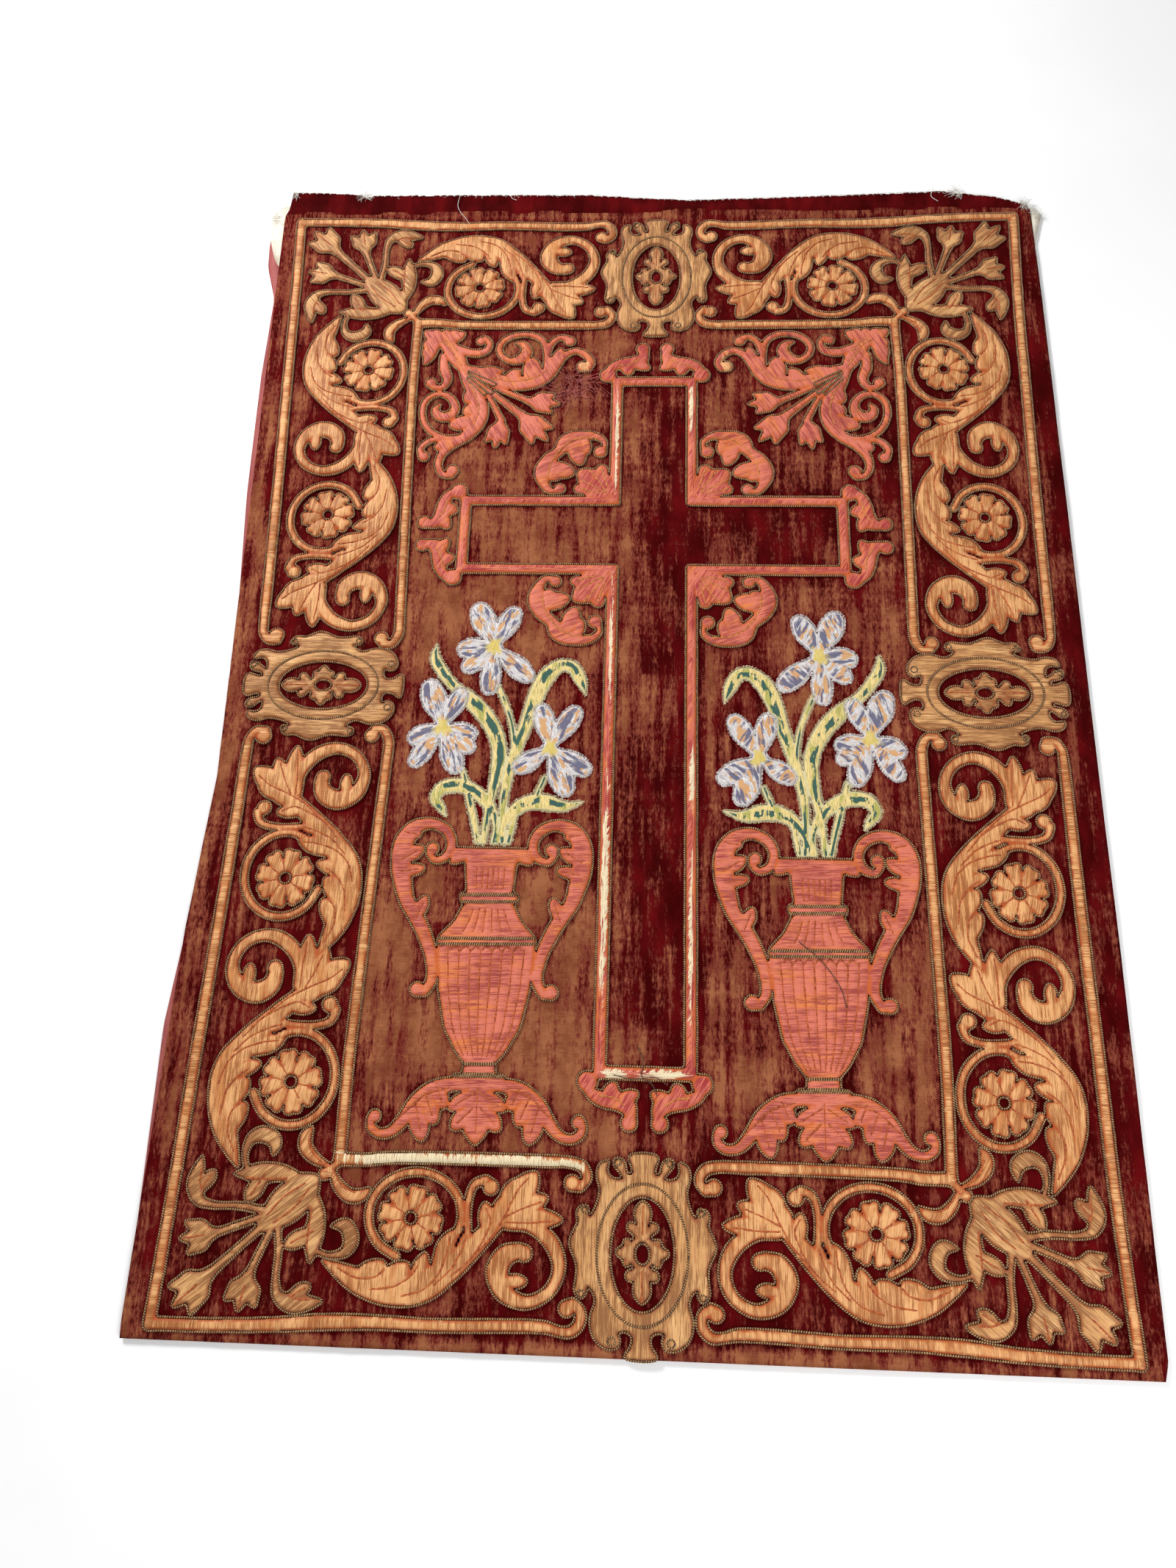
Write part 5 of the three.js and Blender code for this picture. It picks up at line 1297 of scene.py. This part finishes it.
LEAF_SILK = leaf_silk()
CREAM_THREAD = stitch_thread("cream_whipping_silk", (0.82, 0.76, 0.5), (0.55, 0.45, 0.22))
for side, place in BUNCHES.items():
    under_flowers = []
    for x, y, petals in IRISES.values():
        under_flowers += [bulb(x, y, HEART_RADIUS + LEAF_CLEAR), *(petal(x, y, **row) for row in petals)]
    for part in under_flowers:
        part["half"] = part["half"] + LEAF_CLEAR
    applique("leaves_" + side, LEAVES, LEAF_SILK, place, high=FLAT_HIGH, grooves=0,
        holes=under_flowers)
laid_along("leaf_edges", couched, STITCH_TREE, "leaf_green", closed=True, smooth=False, Spacing=0.0019,
    Length=0.0027, Radius=0.00035, Slant=0.9, Uneven=0.5, Seed=12, Thread=CREAM_THREAD)
couched.clear()


# The raw top edge: it was overcast with white linen thread against fraying, and has frayed all the same
# into tufts, worst at the tears. Loose silk ends lie on the face where stitches have given way.
LINEN_THREAD = stitch_thread("white_linen_thread", (0.86, 0.84, 0.78), (0.5, 0.46, 0.4))
DARK_END = stitch_thread("dark_laid_thread", (0.16, 0.07, 0.035), (0.03, 0.012, 0.01))
PINK_END = stitch_thread("loose_pink_silk", (0.58, 0.15, 0.12), (0.3, 0.05, 0.045))
edge_x = np.linspace(-566, 566, 240)
edge_y = np.interp(edge_x, column(TOP_EDGE, "x"), column(TOP_EDGE, "y"))
overcast = np.column_stack([edge_x, edge_y - 1.5, np.full(len(edge_x), VELVET_TOP + 2.2)])
laid_along("overcast_top_edge", [overcast], STITCH_TREE, "interlining", smooth=False, Spacing=0.0055,
    Length=0.0075, Radius=0.0004, Slant=-0.3, Zigzag=0.35, Uneven=0.3, Seed=5, Thread=LINEN_THREAD)
TUFTS = rows("x y wide high ends long", [-452, 834, 9, 5, 60, 15], [466, 829, 10, 5, 60, 15],
    [-566, 838, 8, 8, 30, 12], [566, 806, 7, 7, 60, 15], [0, 832, 540, 4, 70, 7], [-592, 792, 6, 10, 40, 12],
    [582, 792, 7, 8, 40, 12])
PINK_TUFTS = rows("x y wide high ends long", [-108, 484, 44, 20, 70, 48], [-122, 462, 34, 24, 34, 44],
    [-175, -165, 60, 90, 16, 14], [40, -505, 12, 10, 12, 20])
LOOSE_THREADS = [
    [[-301, 836, 8], [-304, 812, 7.6], [-299, 799, 7.8], [-289, 786, 6.5], [-283, 776, 6.2]],
    [[-222, 836, 8], [-220, 826, 7.5], [-212, 822, 7.4]],
    [[-455, 838, 8], [-446, 826, 7.4], [-440, 832, 7.4]],
    [[430, 836, 8], [426, 822, 7.4], [436, 812, 7.4]]]


def loose_ends(tufts, seed, level):
    """Short curved ends scattered over each tuft's oval."""
    chance = np.random.default_rng(seed)
    runs = []
    for tuft in tufts:
        for _ in range(tuft["ends"]):
            turn, bend = chance.uniform(0, 2 * math.pi), chance.uniform(-1.4, 1.4)
            long = tuft["long"] * chance.uniform(0.4, 1.0)
            x = tuft["x"] + tuft["wide"] * chance.triangular(-1, 0, 1)
            y = tuft["y"] + tuft["high"] * chance.triangular(-1, 0, 1)
            steps = np.linspace(0, 1, 6)
            way, pace = turn + bend * steps, long / len(steps)
            runs.append(np.column_stack([x + np.cumsum(np.cos(way)) * pace, y + np.cumsum(np.sin(way)) * pace,
                level + 0.9 * np.sin(math.pi * steps) + chance.uniform(0, 0.6)]))
    return runs


laid_along("frayed_top_ends", loose_ends(TUFTS, 7, VELVET_TOP + 1.6),
    CORD_TREE, "interlining", Step=0.003, Radius=0.00022, Sides=3, Thread=LINEN_THREAD)
laid_along("loose_threads", [smoothed(np.array(line, float), 6) for line in LOOSE_THREADS], CORD_TREE,
    "interlining", Step=0.003, Radius=0.0004, Sides=5, Thread=LINEN_THREAD)
DARK_THREADS = [[[192, -332, 10], [218, -354, 9.6], [241, -388, 9.8], [247, -410, 8]],
    [[-2, -462, 7], [5, -480, 7.6], [3, -496, 9.8], [16, -506, 10], [22, -520, 7.6]],
    [[-30, -496, 10], [-8, -500, 10.2], [20, -498, 10], [34, -506, 9.6]]]
laid_along("loose_dark_threads", [smoothed(np.array(line, float), 6) for line in DARK_THREADS], CORD_TREE,
    "pink_silk", Step=0.003, Radius=0.0006, Sides=5, Thread=DARK_END)
laid_along("loose_pink_ends", loose_ends(PINK_TUFTS, 8, VELVET_TOP + 1.0), CORD_TREE, "pink_silk",
    Step=0.004, Radius=0.00028, Sides=3, Thread=PINK_END)


# The pile under and round the applique: beside and between the sewn pieces hands and candle damp never
# rubbed it, so it keeps its crimson there, and the turning at the top keeps it everywhere. The crimson
# blurred out round each piece is also painted contact shade beside the raised pads.
SHIELD_CELL, SHIELD_X, SHIELD_Y = 4, 660, 880
INNER_BARS_X, INNER_BARS_Y = 352, 594


def shield_at(x, y):
    return ((y + SHIELD_Y) / SHIELD_CELL).astype(int), ((x + SHIELD_X) / SHIELD_CELL).astype(int)


shield_and_shade = np.zeros((2 * SHIELD_Y // SHIELD_CELL, 2 * SHIELD_X // SHIELD_CELL))
for x, y in footprints_for_pile_and_shade:
    shield_and_shade[shield_at(x, y)] = 1
for _ in range(5):
    shield_and_shade = sum(np.roll(shield_and_shade, (a, b), (0, 1)) for a in (-1, 0, 1) for b in (-1, 0, 1)) / 9
points = np.zeros(len(velvet.data.vertices) * 3)
velvet.data.vertices.foreach_get("co", points)
x, y = (points.reshape(-1, 3)[:, :2] * 1000 - DESIGN_TO_FRAME).T
# Kept pile from the blurred footprints, which also paints contact shade round the pieces; then the border and
# the listed ovals.
kept_pile_and_shade = 1.5 * np.minimum(shield_and_shade[shield_at(x, y)], 0.5)
kept_pile_and_shade += 0.3 * ((np.abs(x - MIDDLE_X) > INNER_BARS_X) | (np.abs(y) > INNER_BARS_Y))
for spot in KEPT_PILE:
    kept_pile_and_shade += spot["more"] * np.exp(-(((x - spot["x"]) / spot["wide"]) ** 4
        + ((y - spot["y"]) / spot["high"]) ** 4))
fresh = np.clip((y - FOLD_Y - 4 + 3 * uneven(x, y, 40, 9, 41)) / 6, 0, 1)
for name, values in (("KeptPileAndShade", kept_pile_and_shade), ("Fresh", fresh)):
    velvet.data.attributes.new(name, "FLOAT", "POINT").data.foreach_set("value", values.astype(np.float32))


# The floor, the light and the camera: a plain pale floor, a lamp at the upper left and a broader, weaker
# one at the lower right, and the camera over the cloth's lower half, some 18 degrees off straight down.
floor_mesh = bpy.data.meshes.new("floor")
floor_mesh.from_pydata([(-4, -4, -0.0005), (4, -4, -0.0005), (4, 4, -0.0005), (-4, 4, -0.0005)], [],
    [(0, 1, 2, 3)])
floor = bpy.data.objects.new("floor", floor_mesh)
bpy.context.scene.collection.objects.link(floor)
paper, spot = finish_of("pale_paper", roughness=0.9)
tone = grain(spot, (3, 3, 1), 3)
dressed(paper, mixed(between(tone, 0.3, 0.7), (0.93, 0.93, 0.93), (0.96, 0.96, 0.96)))
floor_mesh.materials.append(paper)


def lamp(name, place, target, size, power):
    light = bpy.data.lights.new(name, "AREA")
    light.shape, light.size, light.energy = "DISK", size, power
    made = bpy.data.objects.new(name, light)
    made.location = place
    made.rotation_euler = (Vector(target) - Vector(place)).to_track_quat("-Z", "Y").to_euler()
    bpy.context.scene.collection.objects.link(made)


lamp("window", (-2.0, 2.0, 1.9), (0, 0, 0), 1.0, 118)
lamp("fill", (1.2, -1.6, 1.7), (0.1, -0.2, 0), 2.0, 42)
world = bpy.data.worlds.new("studio")
world.use_nodes = True
world.node_tree.nodes["Background"].inputs["Color"].default_value = (1, 1, 1, 1)
world.node_tree.nodes["Background"].inputs["Strength"].default_value = 0.3
bpy.context.scene.world = world
bpy.context.scene.view_settings.view_transform = "Standard"

camera = bpy.data.cameras.new("camera")
camera.sensor_width, camera.lens = 36, 25.08
camera.clip_end = 20
viewer = bpy.data.objects.new("camera", camera)
viewer.location = (0.00074, -0.58584, 1.347)
viewer.rotation_euler = (math.radians(17.834), math.radians(2.377), math.radians(1.751))
bpy.context.scene.collection.objects.link(viewer)
bpy.context.scene.camera = viewer
